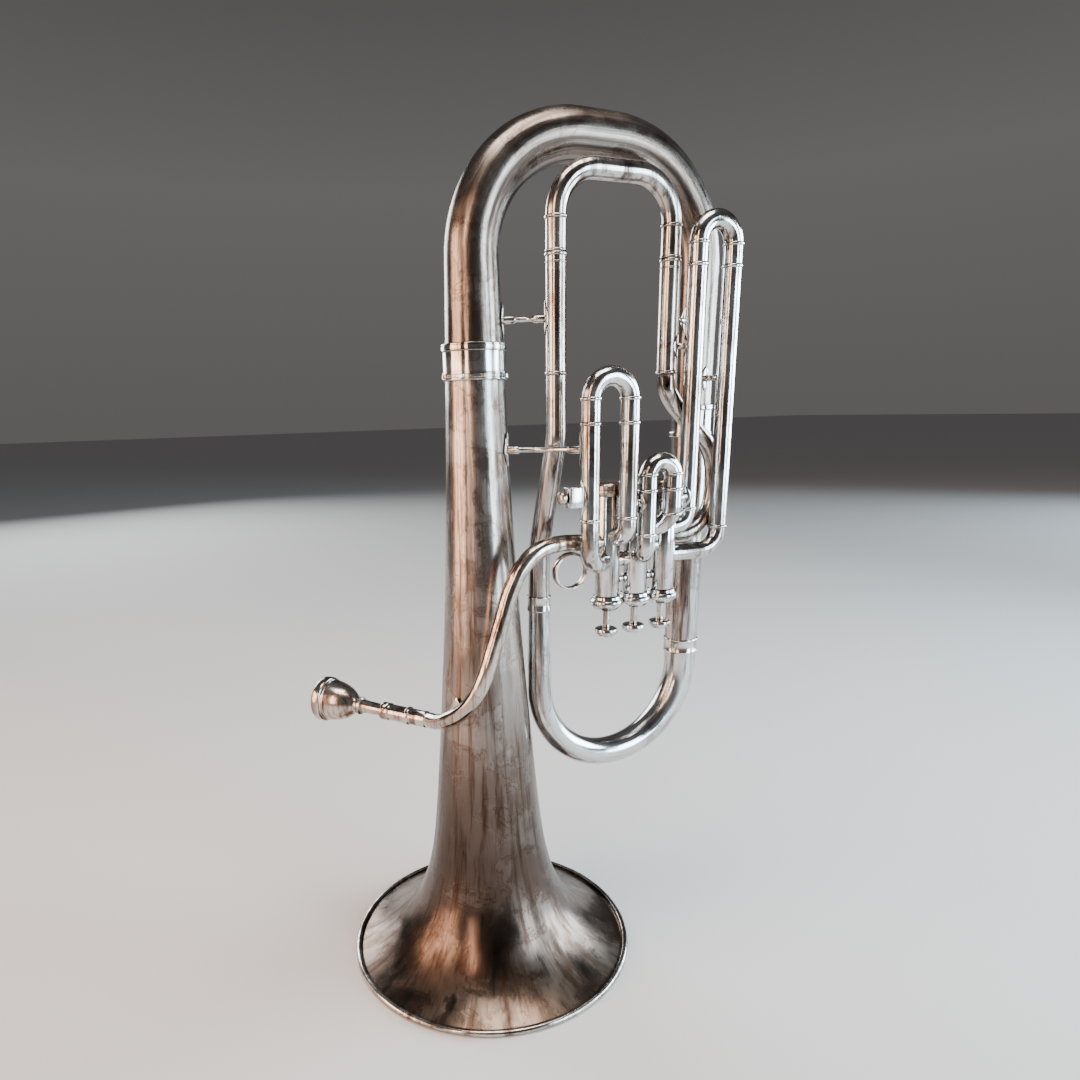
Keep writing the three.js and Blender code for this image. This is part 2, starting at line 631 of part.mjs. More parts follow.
// ---------------------------------------------------------------- braces
// A brace has a pointed foot plate on each tube, a thick sleeve at each end and a thin rod.
// ends: { at: [x, y, z], axis: [x, y], r } gives the tube that the foot lies on.
function footPlate(end, toward, length, width) {
  const shape = new THREE.Shape();
  shape.moveTo(0, -length / 2);
  shape.quadraticCurveTo(width / 2, -length / 6, width / 2, 0);
  shape.quadraticCurveTo(width / 2, length / 6, 0, length / 2);
  shape.quadraticCurveTo(-width / 2, length / 6, -width / 2, 0);
  shape.quadraticCurveTo(-width / 2, -length / 6, 0, -length / 2);
  const block = new THREE.ExtrudeGeometry(shape, {
    depth: end.r + 4, bevelEnabled: false, curveSegments: 2,
  });
  const w = toward.clone().normalize();
  const up = new THREE.Vector3(0, 0, 1);
  const side = up.clone().cross(w).normalize();
  const top = w.clone().cross(side);
  const frame = new THREE.Matrix4().makeBasis(side, top, w);
  frame.setPosition(end.axis[0], end.axis[1], end.z);
  block.applyMatrix4(frame);
  const shell = turned([
    [end.r + GAP, -length], [end.r + 1.4, -length], [end.r + 1.4, length], [end.r + GAP, length],
  ], 20, true, [end.axis[0], end.axis[1], end.z]);
  return common(block, shell);
}

function brace(name, a, b, plate, sleeveR, rodR, finish) {
  const from = new THREE.Vector3(a.axis[0], a.axis[1], a.z);
  const to = new THREE.Vector3(b.axis[0], b.axis[1], b.z);
  const reach = to.clone().sub(from);
  const total = reach.length();
  const s0 = a.r + GAP + 0.3;
  const s1 = total - b.r - GAP - 0.3;
  const grip = Math.min(8, (s1 - s0) * 0.3);
  const bar = turned([
    [0, s0 - 2], [sleeveR, s0 - 2], [sleeveR, s0 + grip], [rodR, s0 + grip + 0.6],
    [rodR, s1 - grip - 0.6], [sleeveR, s1 - grip], [sleeveR, s1 + 2], [0, s1 + 2],
  ], 8, false, from.toArray(), reach.clone().normalize().toArray());
  const feet = [footPlate(a, reach, plate[0], plate[1]),
    footPlate(b, reach.clone().negate(), plate[0], plate[1])];
  const clear = [a, b].map((end) => turned([
    [0, -40], [end.r + GAP, -40], [end.r + GAP, 40], [0, 40],
  ], 20, false, [end.axis[0], end.axis[1], end.z]));
  add(name, cut(join(bar, ...feet), ...clear), finish);
}

const bowLeg = { axis: [0, 0], z: 501, r: 20.3 };
const slideOne = SLIDES[0].legs[0];
const slideThree = SLIDES[2].legs;
brace('brace_bow_tuning', bowLeg, { axis: [TUNE_X[0], TUNE_Y], z: 501, r: TUNE_R },
  [24, 10], 2.6, 1.6, 'silver');
brace('brace_bell_slide_1', { axis: [0, 0], z: 414, r: bellRadius(400) + 0.1 },
  { axis: slideOne, z: 414, r: SLIDE_R }, [24, 10], 2.8, 1.8, 'silver');
brace('brace_tuning_branch', { axis: [TUNE_X[1], TUNE_Y], z: 503, r: TUNE_R },
  { axis: [BOW_X, 0], z: 503, r: 15.9 }, [24, 12], 2.2, 1.8, 'silver');
brace('brace_tuning_slide_3', { axis: [TUNE_X[1], TUNE_Y], z: 483, r: TUNE_R },
  { axis: slideThree[0], z: 483, r: SLIDE_R }, [18, 11], 2.6, 2.0, 'silver');
brace('brace_branch_slide_3', { axis: [BOW_X, 0], z: 461, r: 15.65 },
  { axis: slideThree[1], z: 461, r: SLIDE_R }, [18, 10], 2.4, 1.8, 'silver');

// Saddle that steadies the leadpipe against the bell.
const saddleZ = 222;
const saddleDir = new THREE.Vector3(-0.86, -0.51, 0);
const saddleFoot = footPlate({ axis: [0, 0], z: saddleZ, r: bellRadius(210) + 0.4 }, saddleDir, 22, 13);
add('leadpipe_saddle', saddleFoot, 'silver');

// ---------------------------------------------------------------- thumb ring and lyre holder
const RING_AT = [57.5, -36, 325];
add('thumb_ring', turned([
  [12.2, -3], [13.9, -3], [14.2, -2.2], [14.2, 2.2], [13.9, 3], [12.2, 3],
], 24, true, RING_AT, [0, 1, 0]), 'silver');

const lyre = new THREE.BoxGeometry(11, 9, 14);
lyre.translate(47.6, FRONT_Y, 382);
const lyreSlot = new THREE.BoxGeometry(5, 4.4, 30);
lyreSlot.translate(47.6, FRONT_Y, 382);
const lyreFoot = footPlate({ axis: slideOne, z: 380.6, r: SLIDE_R }, new THREE.Vector3(-1, 0, 0), 26, 11);
const lyreLeg = turned([[0, -40], [SLIDE_R + GAP, -40], [SLIDE_R + GAP, 40], [0, 40]], 24, false,
  [slideOne[0], slideOne[1], 378]);
const lyreHole = rod([30, FRONT_Y, 382], [47, FRONT_Y, 382], 1.9, 12);
add('lyre_holder', cut(join(lyre, lyreFoot), lyreSlot, lyreLeg, lyreHole), 'silver');
add('lyre_screw', turned([
  [0, 0], [1.5, 0], [1.5, 5.6], [3.2, 5.6], [4.4, 6.6], [4.4, 10], [3.2, 11], [0, 11],
], 14, false, [46.6, FRONT_Y, 382], [-1, 0, 0]), 'silver');

// ---------------------------------------------------------------- origin at the middle of the base
const box = new THREE.Box3().setFromObject(group);
const middle = box.getCenter(new THREE.Vector3());
group.children.forEach((mesh) => mesh.geometry.translate(-middle.x, -middle.y, -box.min.z));

export default group;
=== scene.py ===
import math

import bpy
from mathutils import Matrix, Vector


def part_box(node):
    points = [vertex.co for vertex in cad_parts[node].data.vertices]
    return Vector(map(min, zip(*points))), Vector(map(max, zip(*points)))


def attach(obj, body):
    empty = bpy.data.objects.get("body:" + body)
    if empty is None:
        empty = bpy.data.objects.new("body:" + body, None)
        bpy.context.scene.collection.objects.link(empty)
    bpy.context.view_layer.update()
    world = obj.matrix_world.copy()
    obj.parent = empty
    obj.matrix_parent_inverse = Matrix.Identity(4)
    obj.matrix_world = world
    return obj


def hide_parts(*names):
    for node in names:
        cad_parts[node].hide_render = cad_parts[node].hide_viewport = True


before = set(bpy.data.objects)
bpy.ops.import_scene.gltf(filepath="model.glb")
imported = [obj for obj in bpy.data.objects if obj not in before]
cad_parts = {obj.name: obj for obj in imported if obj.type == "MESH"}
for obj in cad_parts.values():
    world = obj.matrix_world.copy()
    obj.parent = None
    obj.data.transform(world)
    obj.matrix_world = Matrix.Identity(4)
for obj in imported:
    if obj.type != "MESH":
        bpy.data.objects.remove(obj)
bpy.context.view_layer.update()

# ---- Camera
# It stands in front of the valves and a little to the bell's side, at about two thirds of the
# horn's height, and looks slightly down on it.
MM = 0.001
bell_low, bell_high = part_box("bell")
bell_axis = Vector(((bell_low[0] + bell_high[0]) / 2, (bell_low[1] + bell_high[1]) / 2, 0))


def at(x, y, z):
    """A place given in millimetres from the foot of the bell's axis, in the row frame."""
    return bell_axis + Vector((x, y, z)) * MM


bpy.ops.object.select_all(action="DESELECT")
bpy.ops.object.camera_add(location=at(-210.9, -522.0, 441.7))
camera = bpy.context.object
turn_right, look_down, tilt = math.radians(22.57), math.radians(16.55), math.radians(-1.58)
camera.rotation_euler = (Matrix.Rotation(-turn_right, 3, "Z")
                         @ Matrix.Rotation(math.pi / 2 - look_down, 3, "X")
                         @ Matrix.Rotation(tilt, 3, "Z")).to_euler()
camera.data.sensor_width = 36
camera.data.lens = 25.1
camera.data.shift_x = 0.0463
camera.data.shift_y = 0.087
camera.data.clip_start = 0.01
bpy.context.scene.camera = camera


# ---- Floor and lights
# A pale paper floor, three tall cool window panes on the right, a warm card and a narrow warm
# lamp on the left, a small light overhead and a broad pale one behind. The room between them is
# dim, and the silver mirrors all of it.
def hex_rgb(code):
    """An sRGB hex colour as linear red, green, blue and alpha."""
    parts = [int(code[i:i + 2], 16) / 255 for i in (1, 3, 5)]
    return tuple(p / 12.92 if p <= 0.04045 else ((p + 0.055) / 1.055) ** 2.4 for p in parts) + (1,)


def add_node(tree, kind, links=None, stops=(), **settings):
    """Adds a node and gives its first output. links gives an input its value, or the socket
    that feeds it. stops are the (position, hex colour) places of a colour ramp."""
    made = tree.nodes.new(kind)
    for key, value in settings.items():
        setattr(made, key, value)
    for key, value in (links or {}).items():
        if isinstance(value, bpy.types.NodeSocket):
            tree.links.new(value, made.inputs[key])
        else:
            made.inputs[key].default_value = value
    if stops:
        band = made.color_ramp
        while len(band.elements) < len(stops):
            band.elements.new(0.5)
        for element, (place, code) in zip(band.elements, stops):
            element.position = place
            element.color = hex_rgb(code)
    return made.outputs[0]


def new_material(name):
    """An empty material: itself, its node tree and its Principled shader."""
    made = bpy.data.materials.new(name)
    made.use_nodes = True
    return made, made.node_tree, made.node_tree.nodes["Principled BSDF"]


def across(size):
    """A pattern's scale, from the size in millimetres of one of its marks."""
    return 1 / (size * MM)


# Uncoated paper: it scatters light evenly and has no gloss. Its fibres are drawn coarse.
FIBRE = 1.111
floor_paper, tree, shader = new_material("matt_paper_floor")
place = add_node(tree, "ShaderNodeNewGeometry")
fibre = add_node(tree, "ShaderNodeTexNoise", {"Vector": place, "Scale": across(FIBRE),
                                              "Detail": 3})
shader.inputs["Base Color"].default_value = hex_rgb("#dcdad8")
shader.inputs["Roughness"].default_value = 0.85
tree.links.new(add_node(tree, "ShaderNodeBump", {"Height": fibre, "Strength": 0.1,
                                                 "Distance": 0.2 * MM}),
               shader.inputs["Normal"])
bpy.ops.object.select_all(action="DESELECT")
bpy.ops.mesh.primitive_plane_add(size=40, location=(0, 0, -0.0004))
floor = bpy.context.object
floor.name = "studio_floor"
floor.data.materials.append(floor_paper)

LIGHTS = [
    # name, place in millimetres, width and height in metres, watts, colour
    ("window_pane_front", (860, -1400, 560), (0.5, 1.0), 14, "#cfe6f5"),
    ("window_pane_side", (1900, -700, 620), (1.0, 1.15), 42, "#cfe6f5"),
    ("window_pane_back", (4300, 240, 1020), (1.4, 2.0), 100, "#cfe6f5"),
    ("warm_card", (-1900, 80, 720), (1.4, 1.35), 26, "#ffcfae"),
    ("warm_lamp", (-1150, -960, 900), (0.25, 1.3), 5, "#ffd2b4"),
    ("top_light", (60, -160, 1500), (0.8, 0.5), 6, "#fff4ea"),
    ("back_fill", (-900, 3600, 1500), (2.2, 1.9), 66, "#f1f3f5"),
]
SPREAD = math.radians(125)
LIT_PLACE = at(80, 0, 320)
for name, place, size, power, colour in LIGHTS:
    bpy.ops.object.light_add(type="AREA", location=at(*place))
    lamp = bpy.context.object
    lamp.name = name
    lamp.data.shape = "RECTANGLE"
    lamp.data.size, lamp.data.size_y = size
    lamp.data.energy = power
    lamp.data.color = hex_rgb(colour)[:3]
    lamp.data.spread = SPREAD
    aim = LIT_PLACE - lamp.location
    lamp.rotation_euler = aim.to_track_quat("-Z", "Y").to_euler()

room = bpy.data.worlds.new("studio_room")
room.use_nodes = True
bpy.context.scene.world = room
tree = room.node_tree
heading = add_node(tree, "ShaderNodeTexCoord")
height = add_node(tree, "ShaderNodeSeparateXYZ", {"Vector": heading}).node.outputs["Z"]
level = add_node(tree, "ShaderNodeMath", {0: height, 1: 0.5, 2: 0.5}, operation="MULTIPLY_ADD")
wall = add_node(tree, "ShaderNodeValToRGB", {"Fac": level}, stops=(
    (0.0, "#6f6a66"), (0.5, "#7b7876"), (0.62, "#858382"), (0.78, "#565455"), (1.0, "#7d7d80")))
tree.nodes["Background"].inputs["Strength"].default_value = 0.58
tree.links.new(wall, tree.nodes["Background"].inputs["Color"])

# ---- Bell
# The bell is hammered from one brass sheet, spun to a flare and silver plated. Old plate on a
# bell goes satin and brown, in streaks that run from the throat out to the rim.
SMOOTH = math.radians(40)


def turned(name, profile, place=(0, 0, 0), axis=(0, 0, 1), sides=64, bored=False):
    """Turns a circle through (radius, height) steps, in millimetres, as on a lathe. A bored
    piece closes from its last step back to its first, and the others are solid."""
    bpy.ops.object.select_all(action="DESELECT")
    bpy.ops.mesh.primitive_circle_add(vertices=sides, radius=profile[0][0] * MM,
                                      location=(0, 0, profile[0][1] * MM))
    made = bpy.context.object
    made.name = name
    bpy.ops.object.transform_apply(location=True, rotation=True, scale=True)
    bpy.ops.object.mode_set(mode="EDIT")
    bpy.ops.mesh.select_all(action="SELECT")
    if not bored:
        bpy.ops.mesh.edge_face_add()
    extrude = bpy.ops.mesh.extrude_edges_move if bored else bpy.ops.mesh.extrude_region_move
    for (r0, z0), (r1, z1) in zip(profile, profile[1:]):
        extrude(TRANSFORM_OT_translate={"value": (0, 0, (z1 - z0) * MM)})
        bpy.ops.transform.resize(value=(r1 / r0, r1 / r0, 1), center_override=(0, 0, z1 * MM))
    if bored:
        bpy.ops.mesh.select_mode(type="EDGE")
        bpy.ops.mesh.select_all(action="DESELECT")
        bpy.ops.mesh.select_non_manifold()
        bpy.ops.mesh.bridge_edge_loops()
    bpy.ops.mesh.select_all(action="SELECT")
    bpy.ops.mesh.normals_make_consistent(inside=False)
    bpy.ops.object.mode_set(mode="OBJECT")
    made.rotation_euler = Vector(axis).to_track_quat("Z", "Y").to_euler()
    made.location = at(*place)
    bpy.ops.object.transform_apply(location=True, rotation=True, scale=True)
    return made


def only(piece):
    """Makes one piece the selected and active one."""
    bpy.ops.object.select_all(action="DESELECT")
    piece.select_set(True)
    bpy.context.view_layer.objects.active = piece


def modified(piece, kind, **settings):
    """Adds a modifier and applies it."""
    only(piece)
    modifier = piece.modifiers.new(kind.lower(), kind)
    for key, value in settings.items():
        setattr(modifier, key, value)
    bpy.ops.object.modifier_apply(modifier=modifier.name)
    return piece


def joined(name, *pieces):
    """Joins pieces into the first one."""
    only(pieces[0])
    for piece in pieces[1:]:
        piece.select_set(True)
    if len(pieces) > 1:
        bpy.ops.object.join()
    pieces[0].name = name
    return pieces[0]


def fitted(piece, material, body, slot, *nodes):
    """Smooths a piece, gives it its finish and puts it on its body in place of its CAD nodes."""
    only(piece)
    piece.data.materials.clear()
    piece.data.materials.append(material)
    bpy.ops.object.shade_smooth_by_angle(angle=SMOOTH)
    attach(piece, body)
    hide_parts(*nodes)


STREAK_WIDE, STREAK_LONG = 6.25, 83.33


def upright_grain(tree, place):
    """Streaks that run up and down a tube, as a cloth leaves them."""
    return add_node(tree, "ShaderNodeMapping", {"Vector": place, "Scale": (
        across(STREAK_WIDE), across(STREAK_WIDE), across(STREAK_LONG))})


STAIN, DENT, SCUFF = 41.67, 20.83, 1.111


def plated(name, bright, worn, dark, stain, cover, rough, grain=upright_grain, grime_and_shade=0.8):
    """Old silver plate. It is bright, worn or dark in streaks along its grain, and stained in
    patches that cover a share of it. rough is its roughness where bright and where dark, and
    grime_and_shade how far an ambient occlusion mask darkens it to dark brown in corners, in
    grooves and between parts: painted shade, with the old polish and tarnish that sit there.
    Its fine scuffs are drawn coarser than they are, so that they show."""
    made, tree, shader = new_material(name)
    place = add_node(tree, "ShaderNodeTexCoord").node.outputs["Object"]
    along = grain(tree, place)
    streaks = add_node(tree, "ShaderNodeTexNoise", {
        "Vector": along, "Scale": 1, "Detail": 5, "Roughness": 0.68, "Distortion": 0.4})
    patches = add_node(tree, "ShaderNodeTexNoise", {
        "Vector": place, "Scale": across(STAIN), "Detail": 6, "Roughness": 0.6, "Distortion": 0.45})
    metal = add_node(tree, "ShaderNodeValToRGB", {"Fac": streaks}, stops=(
        (0.34, dark), (0.43, worn), (0.52, bright), (0.62, bright), (0.74, worn)))
    stained_above = 0.62 - cover * 0.22
    spread = add_node(tree, "ShaderNodeMapRange", {
        "Value": patches, "From Min": stained_above, "From Max": stained_above + 0.08})
    rim = add_node(tree, "ShaderNodeValToRGB", {"Fac": spread}, stops=(
        (0.0, "#000000"), (0.42, "#8a8a8a"), (0.55, "#e0e0e0"), (0.72, "#7a7a7a"),
        (1.0, "#a4a4a4")))
    colour = add_node(tree, "ShaderNodeMix", {"Factor": rim, "A": metal, "B": hex_rgb(stain)},
                      data_type="RGBA").node.outputs["Result"]
    # An ambient occlusion mask darkens the colour towards dark brown in corners, grooves and
    # between parts: painted shade, over the tarnish and old polish that also sit there.
    groove = 2.2 * MM
    shade = add_node(tree, "ShaderNodeAmbientOcclusion", {"Distance": groove}, samples=6)
    corner = add_node(tree, "ShaderNodeMapRange", {
        "Value": shade.node.outputs["AO"], "From Min": 0.35, "From Max": 0.9, "To Min": grime_and_shade,
        "To Max": 0})
    grimy_and_shaded = add_node(tree, "ShaderNodeMix", {"Factor": corner, "A": colour,
                                             "B": hex_rgb("#2b221e")}, data_type="RGBA")
    tree.links.new(grimy_and_shaded.node.outputs["Result"], shader.inputs["Base Color"])
    shader.inputs["Metallic"].default_value = 1
    wiped = add_node(tree, "ShaderNodeMath", {0: streaks, 1: patches}, operation="ADD")
    gloss = add_node(tree, "ShaderNodeMapRange", {
        "Value": wiped, "From Min": 0.75, "From Max": 1.25, "To Min": rough[1], "To Max": rough[0]})
    tree.links.new(gloss, shader.inputs["Roughness"])
    dents = add_node(tree, "ShaderNodeTexNoise", {"Vector": place, "Scale": across(DENT),
                                                  "Detail": 1})
    swell = add_node(tree, "ShaderNodeBump", {"Height": dents, "Strength": 0.4,
                                              "Distance": 1.1 * MM})
    drawn = add_node(tree, "ShaderNodeBump", {"Height": streaks, "Strength": 0.25,
                                              "Distance": 0.25 * MM, "Normal": swell})
    scuffs = add_node(tree, "ShaderNodeTexNoise", {"Vector": place, "Scale": across(SCUFF),
                                                   "Detail": 3})
    fine = add_node(tree, "ShaderNodeBump", {"Height": scuffs, "Strength": 0.25,
                                             "Distance": 0.08 * MM, "Normal": drawn})
    tree.links.new(fine, shader.inputs["Normal"])
    return made


STREAKS_PER_RADIAN, FLARE_STREAK = 6, 45.45


def flare_grain(tree, place):
    """Streaks that run out from the bell's axis, down the cone and over the flare."""
    centred = add_node(tree, "ShaderNodeVectorMath", {0: place, 1: bell_axis},
                       operation="SUBTRACT")
    round_part = add_node(tree, "ShaderNodeVectorMath", {0: centred, 1: (1, 1, 0)},
                          operation="MULTIPLY")
    heading = add_node(tree, "ShaderNodeVectorMath", {0: round_part}, operation="NORMALIZE")
    fine = add_node(tree, "ShaderNodeVectorMath", {
        0: heading, 1: (STREAKS_PER_RADIAN,) * 3}, operation="MULTIPLY")
    out = add_node(tree, "ShaderNodeVectorMath", {0: centred, 1: (
        across(FLARE_STREAK), across(FLARE_STREAK), across(STREAK_LONG))}, operation="MULTIPLY")
    return add_node(tree, "ShaderNodeVectorMath", {0: fine, 1: out}, operation="ADD")


# Silver plate rubbed satin: highlights stretch into soft streaks. The colour is darkened by height:
# hardly at all up the throat, most in a band low on the cone, and to a brown over the flare.
TONED_HEIGHT, TONE_PATCH, UNEVEN = 0.5, 62.5, 0.11
bell_plate = plated("satin_tarnished_silver_plate", "#b7b1ac", "#968d87", "#6a5c54", "#6e5444",
                    0.75, (0.15, 0.4), flare_grain)
tree = bell_plate.node_tree
shader = tree.nodes["Principled BSDF"]
place = add_node(tree, "ShaderNodeTexCoord").node.outputs["Object"]
height = add_node(tree, "ShaderNodeSeparateXYZ", {"Vector": place}).node.outputs["Z"]
wander = add_node(tree, "ShaderNodeTexNoise", {"Vector": place, "Scale": across(TONE_PATCH),
                                               "Detail": 5})
ragged = add_node(tree, "ShaderNodeMath", {0: wander, 1: UNEVEN, 2: height},
                  operation="MULTIPLY_ADD")
belt = add_node(tree, "ShaderNodeMath", {0: ragged, 1: TONED_HEIGHT}, operation="DIVIDE")
toned = add_node(tree, "ShaderNodeValToRGB", {"Fac": belt}, stops=(
    (0.1, "#a99a8e"), (0.2, "#8a7f79"), (0.3, "#7f7671"), (0.46, "#aaa39e"), (0.6, "#e9e6e3"),
    (1.0, "#f6f4f2")))
plain = shader.inputs["Base Color"].links[0].from_socket
dull = add_node(tree, "ShaderNodeMix", {"Factor": 1.0, "A": plain, "B": toned},
                data_type="RGBA", blend_type="MULTIPLY").node.outputs["Result"]
tree.links.new(dull, shader.inputs["Base Color"])
BELL_STEPS = [
    (113.75, 2.1), (113.6, 2.16), (112.9, 2.45), (106, 5.4), (94, 11.5), (80, 21.5), (68, 34),
    (58, 51), (50, 75), (44, 110), (38.4, 172), (32, 250), (26, 338), (22.8, 410),
    (20.95, 472.5), (20.9, 473.8), (20.9, 474),
]
BELL_WALL = 1.1
bell = turned("bell_flare", BELL_STEPS + [(r - BELL_WALL, z) for r, z in BELL_STEPS[::-1]],
              sides=96, bored=True)
modified(bell, "SUBSURF", levels=2, render_levels=2)
fitted(bell, bell_plate, "horn", "tarnished_silver_plate", "bell")

# ---- Bell rim
# The bell's edge is rolled over a wire, which leaves a round bead with a flat worn under it
# where the horn stands.

# Rubbed silver plate: bright along the crown of the bead, brown with tarnish and painted shade
# where polish never reaches.
rim_plate = plated("rolled_rim_silver_plate", "#c9c4bd", "#938a83", "#5b4a45", "#6f584b", 0.4,
                   (0.14, 0.34), flare_grain)
bell_rim = turned("bell_rim_bead", [
    (113.8, 0.0), (116.6, 0.0), (117.4, 0.5), (117.9, 1.4), (118.0, 2.3), (117.7, 3.4),
    (116.9, 4.2), (115.8, 4.55), (114.6, 4.4), (113.8, 4.0)], sides=160, bored=True)
fitted(bell_rim, rim_plate, "horn", "silver_plate", "bell_rim")

# ---- Big bow
# A tapered brass tube bent through two wide turns at the top of the horn. Its plate has gone
# dark and brown, and hands have wiped it in streaks along the tube.
def radius_at(knots, s):
    """The radius at distance s along a tube, from (distance, radius) knots."""
    for (s0, r0), (s1, r1) in zip(knots, knots[1:]):
        if s <= s1:
            return r0 + (r1 - r0) * (s - s0) / (s1 - s0)
    return knots[-1][1]


SHORTEST_STRAIGHT = 1.5
ARC_TO_CHORD = 1.11


def pipe(name, corners, knots, wall=0.7, easy=False, steps=14):
    """A tube bent along corners (x, y, z, bend radius) in millimetres from the bell's foot.
    knots are (distance, outer radius). With easy set, it runs smoothly through every corner.
    Two bends with almost no straight between them are run into one another."""
    places = [Vector(corner[:3]) for corner in corners]
    bends = [(places[0], None, None)]
    for i in range(1, len(places) - 1):
        if easy:
            bends.append((places[i], None, None))
            continue
        back = (places[i - 1] - places[i]).normalized()
        on = (places[i + 1] - places[i]).normalized()
        turn = math.pi - back.angle(on)
        reach = corners[i][3] * math.tan(turn / 2)
        pull = corners[i][3] * math.tan(turn / 4) * 4 / 3
        start, end = places[i] + back * reach, places[i] + on * reach
        if (start - bends[-1][0]).length < SHORTEST_STRAIGHT:
            bends[-1] = (bends[-1][0], bends[-1][1], bends[-1][0] - back * pull)
        else:
            bends.append((start, None, start - back * pull))
        bends.append((end, end - on * pull, None))
    bends.append((places[-1], None, None))
    bpy.ops.object.select_all(action="DESELECT")
    bpy.ops.curve.primitive_bezier_curve_add(location=bell_axis)
    made = bpy.context.object
    made.name = name
    line = made.data
    line.dimensions = "3D"
    line.bevel_depth = MM
    line.bevel_resolution = 7
    line.resolution_u = steps
    spline = line.splines[0]
    spline.bezier_points.add(len(bends) - 2)
    gone = 0
    for i, (point, (place, before, after)) in enumerate(zip(spline.bezier_points, bends)):
        if i:
            step = (place - bends[i - 1][0]).length
            arc = before is not None and bends[i - 1][2] is not None
            gone += step * (ARC_TO_CHORD if arc else 1)
        point.co = place * MM
        kind = "AUTO" if easy else "FREE"
        point.handle_left_type = point.handle_right_type = kind
        point.radius = radius_at(knots, gone)
        if not easy:
            last = bends[i - 1][0] if i else place
            following = bends[i + 1][0] if i + 1 < len(bends) else place
            point.handle_left = (before if before is not None else place.lerp(last, 1 / 3)) * MM
            point.handle_right = (after if after is not None
                                  else place.lerp(following, 1 / 3)) * MM
    bpy.ops.object.convert(target="MESH")
    made = bpy.context.object
    bpy.ops.object.transform_apply(location=True, rotation=True, scale=True)
    bpy.ops.object.mode_set(mode="EDIT")
    bpy.ops.mesh.select_all(action="SELECT")
    bpy.ops.mesh.remove_doubles(threshold=0.01 * MM)
    bpy.ops.mesh.normals_make_consistent(inside=False)
    bpy.ops.object.mode_set(mode="OBJECT")
    return modified(made, "SOLIDIFY", thickness=wall * MM, offset=-1)


def bend_grain(middle_x, flat, centre_z, up):
    """Streaks that follow a U of tube. Its legs stand either side of middle_x, and its bends
    start at centre_z. flat is half of the straight between the bends, all in millimetres."""
    def grain(tree, place):
        """Streaks across and along the U."""
        parts = add_node(tree, "ShaderNodeSeparateXYZ", {"Vector": add_node(
            tree, "ShaderNodeVectorMath", {0: place, 1: at(middle_x, 0, centre_z)},
            operation="SUBTRACT")}).node.outputs
        aside = add_node(tree, "ShaderNodeMath", {0: parts["X"]}, operation="ABSOLUTE")
        aside = add_node(tree, "ShaderNodeMath", {0: aside, 1: flat * MM}, operation="SUBTRACT")
        aside = add_node(tree, "ShaderNodeMath", {0: aside, 1: 0}, operation="MAXIMUM")
        rise = add_node(tree, "ShaderNodeMath", {0: parts["Z"], 1: up}, operation="MULTIPLY")
        rise = add_node(tree, "ShaderNodeMath", {0: rise, 1: 0}, operation="MAXIMUM")
        arm = add_node(tree, "ShaderNodeCombineXYZ", {"X": aside, "Y": rise})
        reach = add_node(tree, "ShaderNodeVectorMath", {0: arm},
                         operation="LENGTH").node.outputs["Value"]
        flow = add_node(tree, "ShaderNodeCombineXYZ", {"X": reach, "Y": parts["Y"],
                                                       "Z": parts["Z"]})
        return upright_grain(tree, flow)
    return grain


BOW_TOP, BOW_BEND, FAR_LEG = 621, 80, 188
# Darkened silver plate: it mirrors the room dimly, with paler wiped streaks round the bends.
bow_plate = plated("dark_worn_silver_plate", "#8b8179", "#6a5f58", "#3b312c", "#524239", 0.7,
                   (0.14, 0.36), bend_grain(FAR_LEG / 2, FAR_LEG / 2 - BOW_BEND,
                                            BOW_TOP - BOW_BEND, 1))
big_bow = pipe("big_bow_tube", [
    (0, 0, 474.3, 0), (0, 0, BOW_TOP, BOW_BEND), (FAR_LEG, 0, BOW_TOP, BOW_BEND),
    (FAR_LEG, 0, 429.3, 0)], [(0, 20.9), (80, 18.2), (458, 15.2)], wall=1, steps=24)
fitted(big_bow, bow_plate, "horn", "worn_silver_plate", "big_bow")

# ---- Ferrules of the main tube
# Short silver-plated collars soldered over the joints. The two large ones have raised bands
# with turned grooves, the bell's is milled round its lower band, and the lower bow's are plain.

# Polished silver plate: clear, sharp reflections, with tarnish and painted shade brown in the
# grooves.
ferrule_plate = plated("bright_silver_plate", "#d9d8d5", "#a8a19a", "#5f524b", "#8b7264", 0.35,
                       (0.07, 0.24))


def hollowed(piece, middle, half_height, radius, margin, depth):
    """Sinks each face of an upright ring's outside, which leaves a milled edge."""
    only(piece)
    bpy.ops.object.mode_set(mode="EDIT")
    bpy.ops.mesh.select_mode(type="FACE")
    bpy.ops.mesh.select_all(action="DESELECT")
    bpy.ops.object.mode_set(mode="OBJECT")
    for face in piece.data.polygons:
        out = face.center - middle
        face.select = abs(out.z) < half_height * MM and math.hypot(out.x, out.y) > radius * MM
    bpy.ops.object.mode_set(mode="EDIT")
    bpy.ops.mesh.inset(thickness=margin * MM, depth=-depth * MM, use_individual=True)
    bpy.ops.object.mode_set(mode="OBJECT")


def upright(node):
    """A CAD node's middle x and y, and its lowest and highest z, in millimetres."""
    low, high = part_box(node)
    return ((low[0] + high[0]) / 2 - bell_axis.x) / MM, \
        ((low[1] + high[1]) / 2 - bell_axis.y) / MM, low[2] / MM, high[2] / MM


